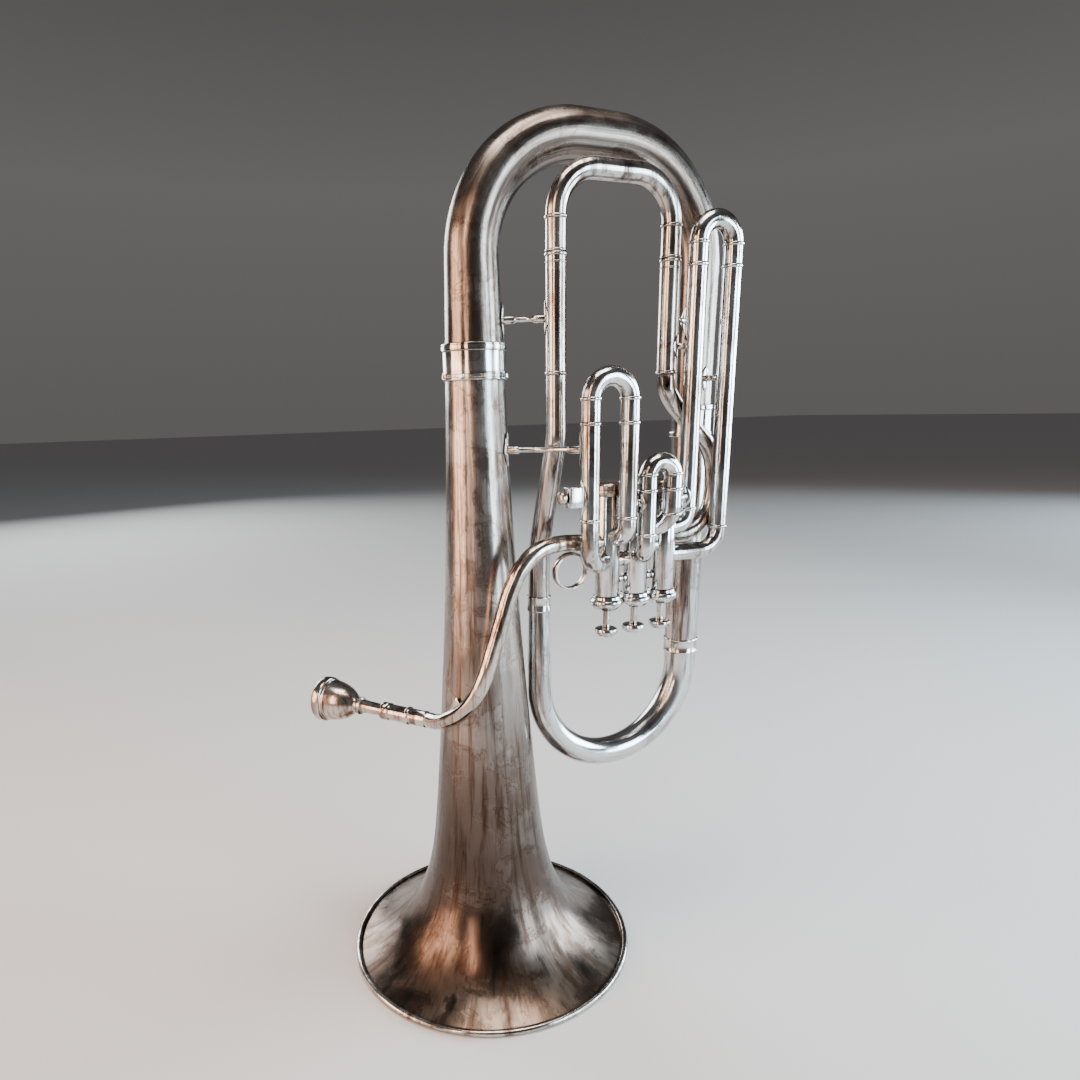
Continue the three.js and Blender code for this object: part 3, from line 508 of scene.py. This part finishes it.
def ferrule(name, node, bore, wall, band, proud, milled=False):
    """A collar as long as its CAD node, with a grooved band at each end."""
    x, y, low, high = upright(node)
    tall = high - low
    r = bore + wall
    top = r + proud
    half = [(r + proud * 0.8, 0), (top, 0.3), (top, 0.8), (top - 0.35, 1.0), (top - 0.35, 1.3),
            (top, 1.5), (top, band - 1.2), (top - 0.35, band - 1.0), (top - 0.35, band - 0.7),
            (top, band - 0.5), (top - 0.1, band), (r, band + 0.25)]
    other = [(radius, tall - z) for radius, z in half[::-1]]
    made = turned(name, [(bore, 0)] + half + other + [(bore, tall)], (x, y, low),
                  sides=120, bored=True)
    if milled:
        hollowed(made, at(x, y, low + band / 2), band / 2 - 0.9, top - 0.2, 0.25, 0.3)
    fitted(made, ferrule_plate, "horn", "silver_plate", node)


ferrule("bell_ferrule", "bell_bow_ferrule", 21.7, 0.6, 5, 1.0, milled=True)
ferrule("branch_ferrule", "bow_branch_ferrule", 15.65, 0.6, 3.6, 0.9)


def collar(name, node, bore):
    """A plain collar with eased edges."""
    x, y, low, high = upright(node)
    r, tall = (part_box(node)[1][0] - bell_axis.x) / MM - x, high - low
    made = turned(name, [
        (bore, 0), (r - 0.3, 0), (r, 0.5), (r, 1.2), (r - 0.25, 1.5), (r - 0.25, tall - 1.5),
        (r, tall - 1.2), (r, tall - 0.5), (r - 0.3, tall), (bore, tall)],
        (x, y, low), sides=72, bored=True)
    fitted(made, ferrule_plate, "horn", "silver_plate", node)


collar("lower_bow_collar_right", "low_bow_ferrule_right", 14.1)
collar("lower_bow_collar_left", "low_bow_ferrule_left", 9.05)

# ---- Branches and lower bow
# The tube goes on down on the right, round the lower bow and up to the tuning slide. The
# branches have darkened like the big bow, and the lower bow, which is handled, stays bright.
LOW_LEG = (45, -8)
LOW_BOTTOM, LOW_BEND = 154.5, 71.3
# Thin old silver plate: bright in wiped streaks, grey-brown between them.
branch_plate = plated("worn_silver_plate", "#c4beb8", "#8a817b", "#4a3e38", "#6a5349", 0.45,
                      (0.08, 0.28))
# Silver plate kept bright by hands: clear reflections and a few pale brown stains.
lower_plate = plated("handled_silver_plate", "#d6d8d7", "#a5a29f", "#5a514c", "#85736a", 0.4,
                     (0.08, 0.26), bend_grain((LOW_LEG[0] + FAR_LEG) / 2, 0,
                                              LOW_BOTTOM + LOW_BEND, -1))
right_branch = pipe("right_branch_tube", [(FAR_LEG, 0, 240.3, 0), (FAR_LEG, 0, 429, 0)],
                    [(0, 13.7), (189, 15.2)], wall=1)
fitted(right_branch, branch_plate, "horn", "worn_silver_plate", "right_branch")
lower_bow = pipe("lower_bow_tube", [
    (*LOW_LEG, 295.7, 0), (*LOW_LEG, LOW_BOTTOM, LOW_BEND),
    (FAR_LEG, 0, LOW_BOTTOM, LOW_BEND), (FAR_LEG, 0, 240, 0)],
    [(0, 8.6), (310, 13.7)], wall=0.9, steps=24)
fitted(lower_bow, lower_plate, "horn", "silver_plate", "lower_bow")
left_branch = pipe("left_branch_tube", [
    (50.4, -27, 463.7, 0), (50.4, -27, 420, 60), (45.4, -9, 340, 60), (*LOW_LEG, 296.3, 0)],
    [(0, 7.1), (168, 8.6)], wall=0.9)
fitted(left_branch, branch_plate, "horn", "worn_silver_plate", "left_branch")

# ---- Tuning slide
# Two sleeves soldered to the horn hold a crook that pulls up and off. Its thinner legs run
# inside them, and each open tube end is stiffened by a half-round ring.
def ring(x, y, z, r, tall=2.4, proud=0.8):
    """A half-round ring round an upright tube of radius r."""
    return turned("ring", [
        (r - 0.3, 0), (r + 0.05, 0), (r + proud * 0.7, tall * 0.14), (r + proud, tall * 0.36),
        (r + proud, tall * 0.64), (r + proud * 0.7, tall * 0.86), (r + 0.05, tall),
        (r - 0.3, tall)], (x, y, z), sides=48, bored=True)


TUNE_R, TUNE_LEG_R, TUNE_BEND, CROOK_RING = 7.1, 6.15, 30, 562
SEAM_GAP = 0.3
tune_legs = []
for side in ("left", "right"):
    x, y, low, high = upright(f"tuning_sleeve_{side}")
    tune_legs.append((x, y))
    tube = pipe("sleeve", [(x, y, low, 0), (x, y, high, 0)], [(0, TUNE_R)], 0.6, steps=4)
    sleeve = joined(f"tuning_sleeve_tube_{side}", tube, ring(x, y, low, TUNE_R),
                    ring(x, y, high - 2.4, TUNE_R), ring(x, y, high - 6.6, TUNE_R, 1.2, 0.35))
    fitted(sleeve, branch_plate, "horn", "worn_silver_plate", f"tuning_sleeve_{side}")

seam = high + SEAM_GAP
left_tune, right_tune = tune_legs
_, _, leg_foot, crook_top = upright("tuning_slide")
top = crook_top - TUNE_R
crook = pipe("crook", [(*left_tune, seam, 0), (*left_tune, top, TUNE_BEND),
                       (*right_tune, top, TUNE_BEND), (*right_tune, seam, 0)],
             [(0, TUNE_R)], 0.9, steps=20)
legs = [pipe("leg", [(x, y, leg_foot, 0), (x, y, seam + 1, 0)], [(0, TUNE_LEG_R)], 0.7, steps=4)
        for x, y in tune_legs]
rings = [ring(x, y, z, TUNE_R, tall, proud) for x, y in tune_legs
         for z, tall, proud in ((CROOK_RING, 2.4, 0.8), (seam, 1.6, 0.5))]
tuning_slide = joined("tuning_slide_crook", crook, *legs, *rings)
fitted(tuning_slide, branch_plate, "tuning_slide", "worn_silver_plate", "tuning_slide")

# ---- Valve casings and caps
# Three drawn tubes hold the pistons. A domed cap with a wide flange screws on the button end
# and guides the stem, and a knurled cap closes the far end behind the spring.
CASING_R, CASING_BORE, STEM_BORE = 9.4, 8.05, 3.05
# Machined and polished silver plate: the cleanest mirror on the horn, with few stains.
casing_plate = plated("bright_casing_silver_plate", "#dfe0df", "#aba6a1", "#62564f",
                      "#8f7a6c", 0.3, (0.06, 0.2))
# Silver plate worn through by turning: warm and dull, with brass colour coming through.
cap_plate = plated("worn_cap_silver_plate", "#c9bdb2", "#93806f", "#5c4736", "#7d5f45", 0.6,
                   (0.14, 0.34))
valves = []
for n in (1, 2, 3):
    x, y, low, high = upright(f"valve_{n}_casing")
    valves.append((x, y))
    casing = turned(f"valve_{n}_casing_tube", [
        (CASING_BORE, low), (CASING_R - 0.2, low), (CASING_R, low + 0.3), (CASING_R, high - 0.3),
        (CASING_R - 0.2, high), (CASING_BORE, high)], (x, y, 0), sides=72, bored=True)
    fitted(casing, casing_plate, "horn", "silver_plate", f"valve_{n}_casing")
    finger_cap = turned(f"valve_{n}_finger_cap_dome", [
        (STEM_BORE, 0), (5.2, 0), (7.6, 0.3), (9.8, 1.6), (11.2, 3.3), (11.9, 4.0), (12.3, 4.6),
        (12.3, 5.6), (12.0, 5.9), (12.0, 6.3), (12.3, 6.6), (12.3, 7.6), (11.9, 8.2),
        (10.9, 8.9), (10.55, 9.8), (10.55, 10.9), (10.3, 11.2), (9.7, 11.2), (9.7, 4.1),
        (STEM_BORE, 4.1)], (x, y, upright(f"valve_{n}_finger_cap")[2]), sides=72, bored=True)
    fitted(finger_cap, casing_plate, "horn", "silver_plate", f"valve_{n}_finger_cap")
    cap_low = upright(f"valve_{n}_bottom_cap")[2]
    bottom_cap = turned(f"valve_{n}_bottom_cap_disc", [
        (9.7, 0), (10.3, 0), (10.5, 0.3), (10.5, 3.3), (10.1, 3.7), (10.1, 4.1), (10.5, 4.5),
        (10.5, 7.5), (10.1, 8.0), (8.4, 9.5), (6.0, 9.85), (3.0, 9.9), (0.3, 9.9), (0.3, 4.8),
        (9.7, 4.8)], (x, y, cap_low), sides=60, bored=True)
    hollowed(bottom_cap, at(x, y, cap_low + 6), 0.9, 10.4, 0.18, 0.3)
    fitted(bottom_cap, cap_plate, "horn", "silver_plate", f"valve_{n}_bottom_cap")

# ---- Pistons, stems, buttons and springs
# Nickel-plated pistons slide in the casings. Each has a polished stem with a silver button
# for the finger, and a steel spring behind it that sends it back.

# Nickel plate polished by sliding: warmer and a little darker than silver, with no tarnish, and
# lighter painted shade in its corners.
nickel = plated("polished_nickel_plate", "#d6d2c9", "#b0a99d", "#7d7469", "#93897b", 0.2,
                (0.06, 0.18), grime_and_shade=0.4)
# Drawn spring steel: a cool grey sheen, mottled by the die and by old oil.
MOTTLE = 1.111
wire, tree, shader = new_material("drawn_spring_steel")
place = add_node(tree, "ShaderNodeTexCoord").node.outputs["Object"]
mottled = add_node(tree, "ShaderNodeTexNoise", {"Vector": place, "Scale": across(MOTTLE),
                                                "Detail": 3})
drawn = add_node(tree, "ShaderNodeValToRGB", {"Fac": mottled}, stops=(
    (0.3, "#6d7278"), (0.7, "#a3a8ad")))
tree.links.new(drawn, shader.inputs["Base Color"])
shader.inputs["Metallic"].default_value = 1
shader.inputs["Roughness"].default_value = 0.32
for n, (x, y) in enumerate(valves, 1):
    for part, finish in (("piston", nickel), ("spring", wire)):
        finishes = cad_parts[f"valve_{n}_{part}"].data.materials
        finishes.clear()
        finishes.append(finish)
    button_low = upright(f"valve_{n}_button")[2]
    stem = turned(f"valve_{n}_stem", [(2.5, 6.55), (2.66, 7.0), (2.66, 33.4), (2.5, 33.7)],
                  (x, y, button_low), sides=40)
    fitted(stem, nickel, f"valve_{n}", "nickel_plate")
    button = turned(f"valve_{n}_button_disc", [
        (0.4, 0.4), (3.6, 0.35), (5.4, 0.1), (6.2, 0), (6.9, 0.3), (7.1, 1.1), (7.9, 1.4),
        (8.5, 1.9), (8.7, 2.6), (8.7, 4.7), (8.4, 5.4), (7.4, 5.9), (5.0, 6.1), (3.4, 6.4),
        (0.4, 6.4)], (x, y, button_low), sides=64)
    fitted(button, casing_plate, f"valve_{n}", "silver_plate", f"valve_{n}_button")

# ---- Valve slides
# Each valve has its own loop of tube. Two sleeves curve out of the casing and stand upright,
# and a small crook with thinner legs pushes into them from above.

# Drawn and polished silver plate: bright, in long clear streaks, with brown stains between.
slide_plate = plated("slide_silver_plate", "#dbdcdb", "#a29c96", "#564a44", "#86705f", 0.4,
                     (0.06, 0.24))
SLIDE_R, SLIDE_LEG_R, WIDEST_BEND, TIGHTEST_BEND = 6.75, 5.85, 16, 7.2
SLIDES = [
    # half the distance between the legs, crook's ring, lower rings, ports in the casing
    (15.55, 446, (366, 366), (331, 350)),
    (10.8, 393, (352, 366), (335, 354)),
    (15.1, 550, (366, 350), (352, 331)),
]
CUTTER_LONG, CASING_MIDDLE = 300, 340


def trimmed(piece, x, y):
    """Cuts a tube's end to the round of a valve casing."""
    bpy.ops.object.select_all(action="DESELECT")
    bpy.ops.mesh.primitive_cylinder_add(vertices=72, radius=(CASING_R - 0.2) * MM,
                                        depth=CUTTER_LONG * MM,
                                        location=at(x, y, CASING_MIDDLE))
    cutter = bpy.context.object
    modified(piece, "BOOLEAN", object=cutter, operation="DIFFERENCE", solver="EXACT")
    bpy.data.objects.remove(cutter)
    return piece


for n, pair in enumerate(("12", "23")):
    x, y = valves[n]
    pitch = valves[n + 1][0] - x
    _, _, low, high = upright(f"valve_link_{pair}")
    link = turned(f"valve_link_{pair}_tube", [(4, 0), (5.6, 0), (5.6, pitch), (4, pitch)],
                  (x, y, (low + high) / 2), (1, 0, 0), sides=48, bored=True)
    for casing_x, casing_y in valves[n:n + 2]:
        trimmed(link, casing_x, casing_y)
    fitted(link, casing_plate, "horn", "silver_plate", f"valve_link_{pair}")
    _, _, low, high = upright(f"valve_tie_{pair}")
    tie = turned(f"valve_tie_{pair}_spool", [
        (2.4, CASING_R - 0.1), (3.4, CASING_R + 0.3), (3.4, CASING_R + 1.2),
        (2.2, CASING_R + 1.7), (2.8, pitch / 2 - 0.4), (2.8, pitch / 2 + 0.4),
        (2.2, pitch - CASING_R - 1.7), (3.4, pitch - CASING_R - 1.2),
        (3.4, pitch - CASING_R - 0.3), (2.4, pitch - CASING_R + 0.1)],
        (x, y, (low + high) / 2), (1, 0, 0), sides=32)
    fitted(tie, casing_plate, "horn", "silver_plate", f"valve_tie_{pair}")

slide_legs = []
for n, (half, ring_z, lower, ports) in enumerate(SLIDES, 1):
    valve_x, valve_y = valves[n - 1]
    middle_x, y, leg_foot, crook_top = upright(f"slide_{n}")
    seam = upright(f"slide_{n}_sleeve_left")[3]
    xs = (middle_x - half, middle_x + half)
    slide_legs.append([(x, y) for x in xs])
    for side, x, low_ring, port in zip(("left", "right"), xs, lower, ports):
        span = math.hypot(x - valve_x, y - valve_y)
        bend = max(min(span - CASING_R - 0.6, WIDEST_BEND), TIGHTEST_BEND)
        tube = pipe("sleeve", [(x, y, seam, 0), (x, y, port, bend), (valve_x, valve_y, port, 0)],
                    [(0, SLIDE_R)], 0.6, steps=12)
        sleeve = joined(f"slide_{n}_sleeve_tube_{side}", trimmed(tube, valve_x, valve_y),
                        ring(x, y, seam - 2.4, SLIDE_R), ring(x, y, low_ring - 2.4, SLIDE_R))
        fitted(sleeve, slide_plate, "horn", "silver_plate", f"slide_{n}_sleeve_{side}")
    top = crook_top - SLIDE_R
    start = seam + SEAM_GAP
    crook = pipe("crook", [(xs[0], y, start, 0), (xs[0], y, top, half - 0.01),
                           (xs[1], y, top, half - 0.01), (xs[1], y, start, 0)],
                 [(0, SLIDE_R)], 0.8, steps=16)
    legs = [pipe("leg", [(x, y, leg_foot, 0), (x, y, start + 1, 0)], [(0, SLIDE_LEG_R)], 0.6,
                 steps=4) for x in xs]
    rings = [ring(x, y, ring_z, SLIDE_R) for x in xs]
    slide = joined(f"slide_{n}_crook", crook, *legs, *rings)
    fitted(slide, slide_plate, f"slide_{n}", "silver_plate", f"slide_{n}")

# ---- Outlet tube
# From the third valve the air goes up to the tuning slide through a tube bent by hand in a
# long S behind the third slide.
tune_x, tune_y, tune_low, _ = upright("tuning_sleeve_right")
outlet = pipe("outlet_tube_bent", [
    (valves[2][0] + 1.5, -33, 343), (140.5, -28.4, 343), (152, -27.2, 342.6),
    (169, -26.6, 343.5), (184, -25.8, 352), (192.5, -25.2, 368), (193, -25, 391),
    (187, -25, 409), (174.5, -25.2, 421), (161.3, -25.4, 434), (150, -26.1, 445),
    (144.2, -26.9, 454), (tune_x, tune_y, tune_low - 1.4)],
    [(0, 6.7), (190, 6.9)], 0.8, easy=True, steps=8)
trimmed(outlet, *valves[2])
fitted(outlet, branch_plate, "horn", "worn_silver_plate", "outlet_tube")

# ---- Leadpipe, receiver and mouthpiece
# The leadpipe leaves the first valve, runs down the bell's face and hooks round its left side.
# The receiver is soldered on its end, and the turned mouthpiece's tapered shank pushes in.
PIPE_R, RECEIVER_R = 6.15, 6.45
PIPE_AXIS = Vector((-0.664, 0.746, 0.042)).normalized()
PIPE_END = Vector((-46.6, 4.6, 209.4))
# Silver plate warmed by breath and hands: bright, but yellow-brown in its stains.
pipe_plate = plated("warm_silver_plate", "#d3cac2", "#9b8e84", "#54463e", "#7f6656", 0.45,
                    (0.08, 0.27))
leadpipe = pipe("leadpipe_tube", [
    (valves[0][0] - 6, -40, 346), (72, -40.6, 346.2), (60.4, -42, 346.8), (45, -43, 347.5),
    (28, -45, 345), (14.5, -46, 335.7), (4.6, -46.5, 320.2), (-3.9, -47, 297.9),
    (-11.5, -47.2, 276.5), (-19.3, -46, 254.2), (-25.5, -41.5, 239), (-32.5, -32.5, 226.5),
    (-39.2, -20.5, 217.6), (-43, -8.6, 212), tuple(PIPE_END)],
    [(0, PIPE_R)], 0.8, easy=True, steps=8)
trimmed(leadpipe, *valves[0])
fitted(leadpipe, pipe_plate, "horn", "silver_plate", "leadpipe")
receiver = turned("receiver_sleeve", [
    (4.7, 0.8), (6.4, 0.8), (6.65, 1.1), (6.65, 2.4), (RECEIVER_R, 2.7), (RECEIVER_R, 15.6),
    (7.0, 16), (7.25, 16.5), (7.25, 18.5), (7.0, 19), (RECEIVER_R, 19.4), (RECEIVER_R, 33.6),
    (6.8, 34), (7.05, 34.5), (7.05, 37.4), (6.8, 37.7), (6.8, 38.1), (7.05, 38.4),
    (7.05, 41.5), (6.8, 42), (5.0, 42)],
    tuple(PIPE_END), PIPE_AXIS, sides=56, bored=True)
fitted(receiver, pipe_plate, "horn", "silver_plate", "mouthpiece_receiver")
# Much-handled silver plate: softer reflections, and tarnish and painted shade brown in every turned
# groove.
mouth_plate = plated("mouthpiece_silver_plate", "#ccc1b7", "#98887b", "#5a4a40", "#7b6152", 0.5,
                     (0.1, 0.28))
mouthpiece = turned("mouthpiece_cup", [
    (3.0, 14), (4.3, 14), (4.45, 14.4), (4.7, 43), (5.5, 60.5), (5.7, 61.6), (6.6, 62),
    (7.3, 62.5), (7.4, 63.4), (7.1, 64), (6.6, 64.3), (7.0, 64.7), (7.0, 65.4), (6.3, 66),
    (6.2, 66.6), (6.6, 67.6), (8.2, 69.4), (10.6, 72.2), (12.9, 75.8), (14.7, 80.0),
    (16.0, 84.6), (16.8, 88.6), (17.1, 90.4), (16.7, 90.8), (16.7, 91.4), (17.3, 91.8),
    (17.4, 92.6), (17.0, 93.0), (17.0, 93.5), (17.9, 93.9), (18.4, 94.6), (18.6, 95.6),
    (18.6, 98.6), (18.3, 100.0), (17.4, 101.0), (15.9, 101.4), (14.5, 101.1), (13.4, 100.0),
    (12.7, 97.6), (12.1, 94.0), (11.0, 89.0), (8.6, 83.0), (5.4, 78.4), (3.4, 76), (2.5, 70)],
    tuple(PIPE_END), PIPE_AXIS, sides=88, bored=True)
fitted(mouthpiece, mouth_plate, "mouthpiece", "worn_silver_plate", "mouthpiece")

# ---- Braces
# Turned stays hold the tubes apart. Each has a thick sleeve at both ends and a leaf-shaped
# foot at each end, beaten to the round of its tube and soldered down.
def foot(x, y, z, r, toward, long, wide):
    """A leaf-shaped plate that lies on an upright tube of radius r, on its side toward."""
    bpy.ops.object.select_all(action="DESELECT")
    bpy.ops.mesh.primitive_grid_add(x_subdivisions=10, y_subdivisions=20, size=2)
    made = bpy.context.object
    heading = math.atan2(toward.y, toward.x)
    centre = at(x, y, z)
    for vertex in made.data.vertices:
        u, v = vertex.co.x, vertex.co.y
        reach = (1 - abs(v) ** 1.5) * wide / 2 + 0.25
        angle = heading + u * reach / r
        rise = 0.25 + 0.75 * (1 - abs(u) ** 4) * (1 - abs(v) ** 6)
        vertex.co = centre + Vector((math.cos(angle) * (r + rise), math.sin(angle) * (r + rise),
                                     v * long / 2)) * MM
    modified(made, "SOLIDIFY", thickness=0.9 * MM, offset=-1)
    return made


LONGEST_GRIP = 8


def stay(name, nodes, z, a, b, thick, thin, long, wide):
    """A stay at height z between two upright tubes (x, y, radius). Its feet are long and wide,
    and it is thick in its end sleeves and thin between them."""
    (x0, y0, r0), (x1, y1, r1) = a, b
    reach = Vector((x1 - x0, y1 - y0, 0))
    s0, s1 = r0 + 0.4, reach.length - r1 - 0.4
    grip = min(LONGEST_GRIP, (s1 - s0) * 0.3)
    shape = [(thick, s0), (thick, s0 + grip - 0.6), (thick - 0.2, s0 + grip),
             (thin + 0.5, s0 + grip + 0.3), (thin, s0 + grip + 0.9), (thin, s1 - grip - 0.9),
             (thin + 0.5, s1 - grip - 0.3), (thick - 0.2, s1 - grip), (thick, s1 - grip + 0.6),
             (thick, s1)]
    if s1 - s0 < 4 * thick:
        shape = [(thick, s0), (thin, (s0 + s1) / 2), (thick, s1)]
    bar = turned("bar", shape, (x0, y0, z), reach, sides=32)
    made = joined(name + "_stay", bar, foot(x0, y0, z, r0, reach, long, wide),
                  foot(x1, y1, z, r1, -reach, long, wide))
    fitted(made, ferrule_plate, "horn", "silver_plate", *nodes)


(left_1, right_1), (left_2, right_2), (left_3, right_3) = [
    [(*leg, SLIDE_R) for leg in legs] for legs in slide_legs]
STAYS = [
    # node, the two tubes, thick and thin radius, width of the feet
    ("brace_bow_tuning", (0, 0, 20.3), (*left_tune, TUNE_R), 2.6, 1.6, 10),
    ("brace_bell_slide_1", (0, 0, 23.3), left_1, 2.8, 1.8, 10),
    ("brace_tuning_branch", (*right_tune, TUNE_R), (FAR_LEG, 0, 15.9), 2.2, 1.8, 12),
    ("brace_tuning_slide_3", (*right_tune, TUNE_R), left_3, 2.6, 2.0, 11),
    ("brace_branch_slide_3", (FAR_LEG, 0, 15.65), right_3, 2.4, 1.8, 10),
]
for node, near, far, thick, thin, wide in STAYS:
    _, _, low, high = upright(node)
    stay(node, [node], (low + high) / 2, near, far, thick, thin, high - low, wide)
LINKS_Z = 374.5
stay("slides_1_2_link", [], LINKS_Z, right_1, left_2, 3.4, 2.8, 17, 13)
stay("slides_2_3_link", [], LINKS_Z, right_2, left_3, 3.0, 2.4, 17, 12)
TOWARD_PIPE = Vector((-0.86, -0.51, 0))
saddle = foot(0, 0, 222, 35.4, TOWARD_PIPE, 22, 13)
saddle.name = "leadpipe_saddle_plate"
fitted(saddle, ferrule_plate, "horn", "silver_plate", "leadpipe_saddle")

# ---- Thumb ring and lyre holder
# A flat ring for the right thumb hangs under the leadpipe. A square socket on the first slide
# takes a music lyre, which its thumbscrew clamps.
x, y, low, high = upright("thumb_ring")
thumb_ring = turned("thumb_ring_band", [
    (12.2, -2.7), (12.5, -3.0), (13.6, -3.0), (14.0, -2.6), (14.2, -1.8), (14.2, 1.8),
    (14.0, 2.6), (13.6, 3.0), (12.5, 3.0), (12.2, 2.7)], (x, y, (low + high) / 2),
    (0, 1, 0), sides=96, bored=True)
fitted(thumb_ring, pipe_plate, "horn", "silver_plate", "thumb_ring")

SOCKET_SIZE, SOCKET_MARGIN, SOCKET_DEPTH = Vector((11, 9, 14)), 2.4, 11
_, lyre_y, screw_low, screw_high = upright("lyre_screw")
lyre_x, lyre_z = 47.6, (screw_low + screw_high) / 2
_, _, plate_low, plate_high = upright("lyre_holder")
bpy.ops.object.select_all(action="DESELECT")
bpy.ops.mesh.primitive_cube_add(size=1, location=at(lyre_x, lyre_y, lyre_z))
socket = bpy.context.object
socket.scale = SOCKET_SIZE * MM
bpy.ops.object.transform_apply(location=True, rotation=True, scale=True)
bpy.ops.object.mode_set(mode="EDIT")
bpy.ops.mesh.select_mode(type="FACE")
bpy.ops.mesh.select_all(action="DESELECT")
bpy.ops.object.mode_set(mode="OBJECT")
for face in socket.data.polygons:
    face.select = face.normal.z > 0.9
bpy.ops.object.mode_set(mode="EDIT")
bpy.ops.mesh.inset(thickness=SOCKET_MARGIN * MM)
bpy.ops.mesh.extrude_region_move(TRANSFORM_OT_translate={"value": (0, 0, -SOCKET_DEPTH * MM)})
bpy.ops.object.mode_set(mode="OBJECT")
modified(socket, "BEVEL", width=0.5 * MM, segments=3, limit_method="ANGLE")
holder = joined("lyre_socket", socket, foot(
    *left_1[:2], (plate_low + plate_high) / 2, SLIDE_R, Vector((-1, 0, 0)),
    plate_high - plate_low, 11))
fitted(holder, casing_plate, "horn", "silver_plate", "lyre_holder")
screw = turned("lyre_thumbscrew", [
    (1.5, 0), (1.5, 5.4), (2.2, 5.6), (3.2, 5.8), (4.1, 6.3), (4.4, 7.0), (4.4, 9.4),
    (4.1, 10.2), (3.2, 10.8), (1.6, 11)], (lyre_x - 1, lyre_y, lyre_z), (-1, 0, 0), sides=48)
fitted(screw, cap_plate, "lyre_screw", "silver_plate", "lyre_screw")
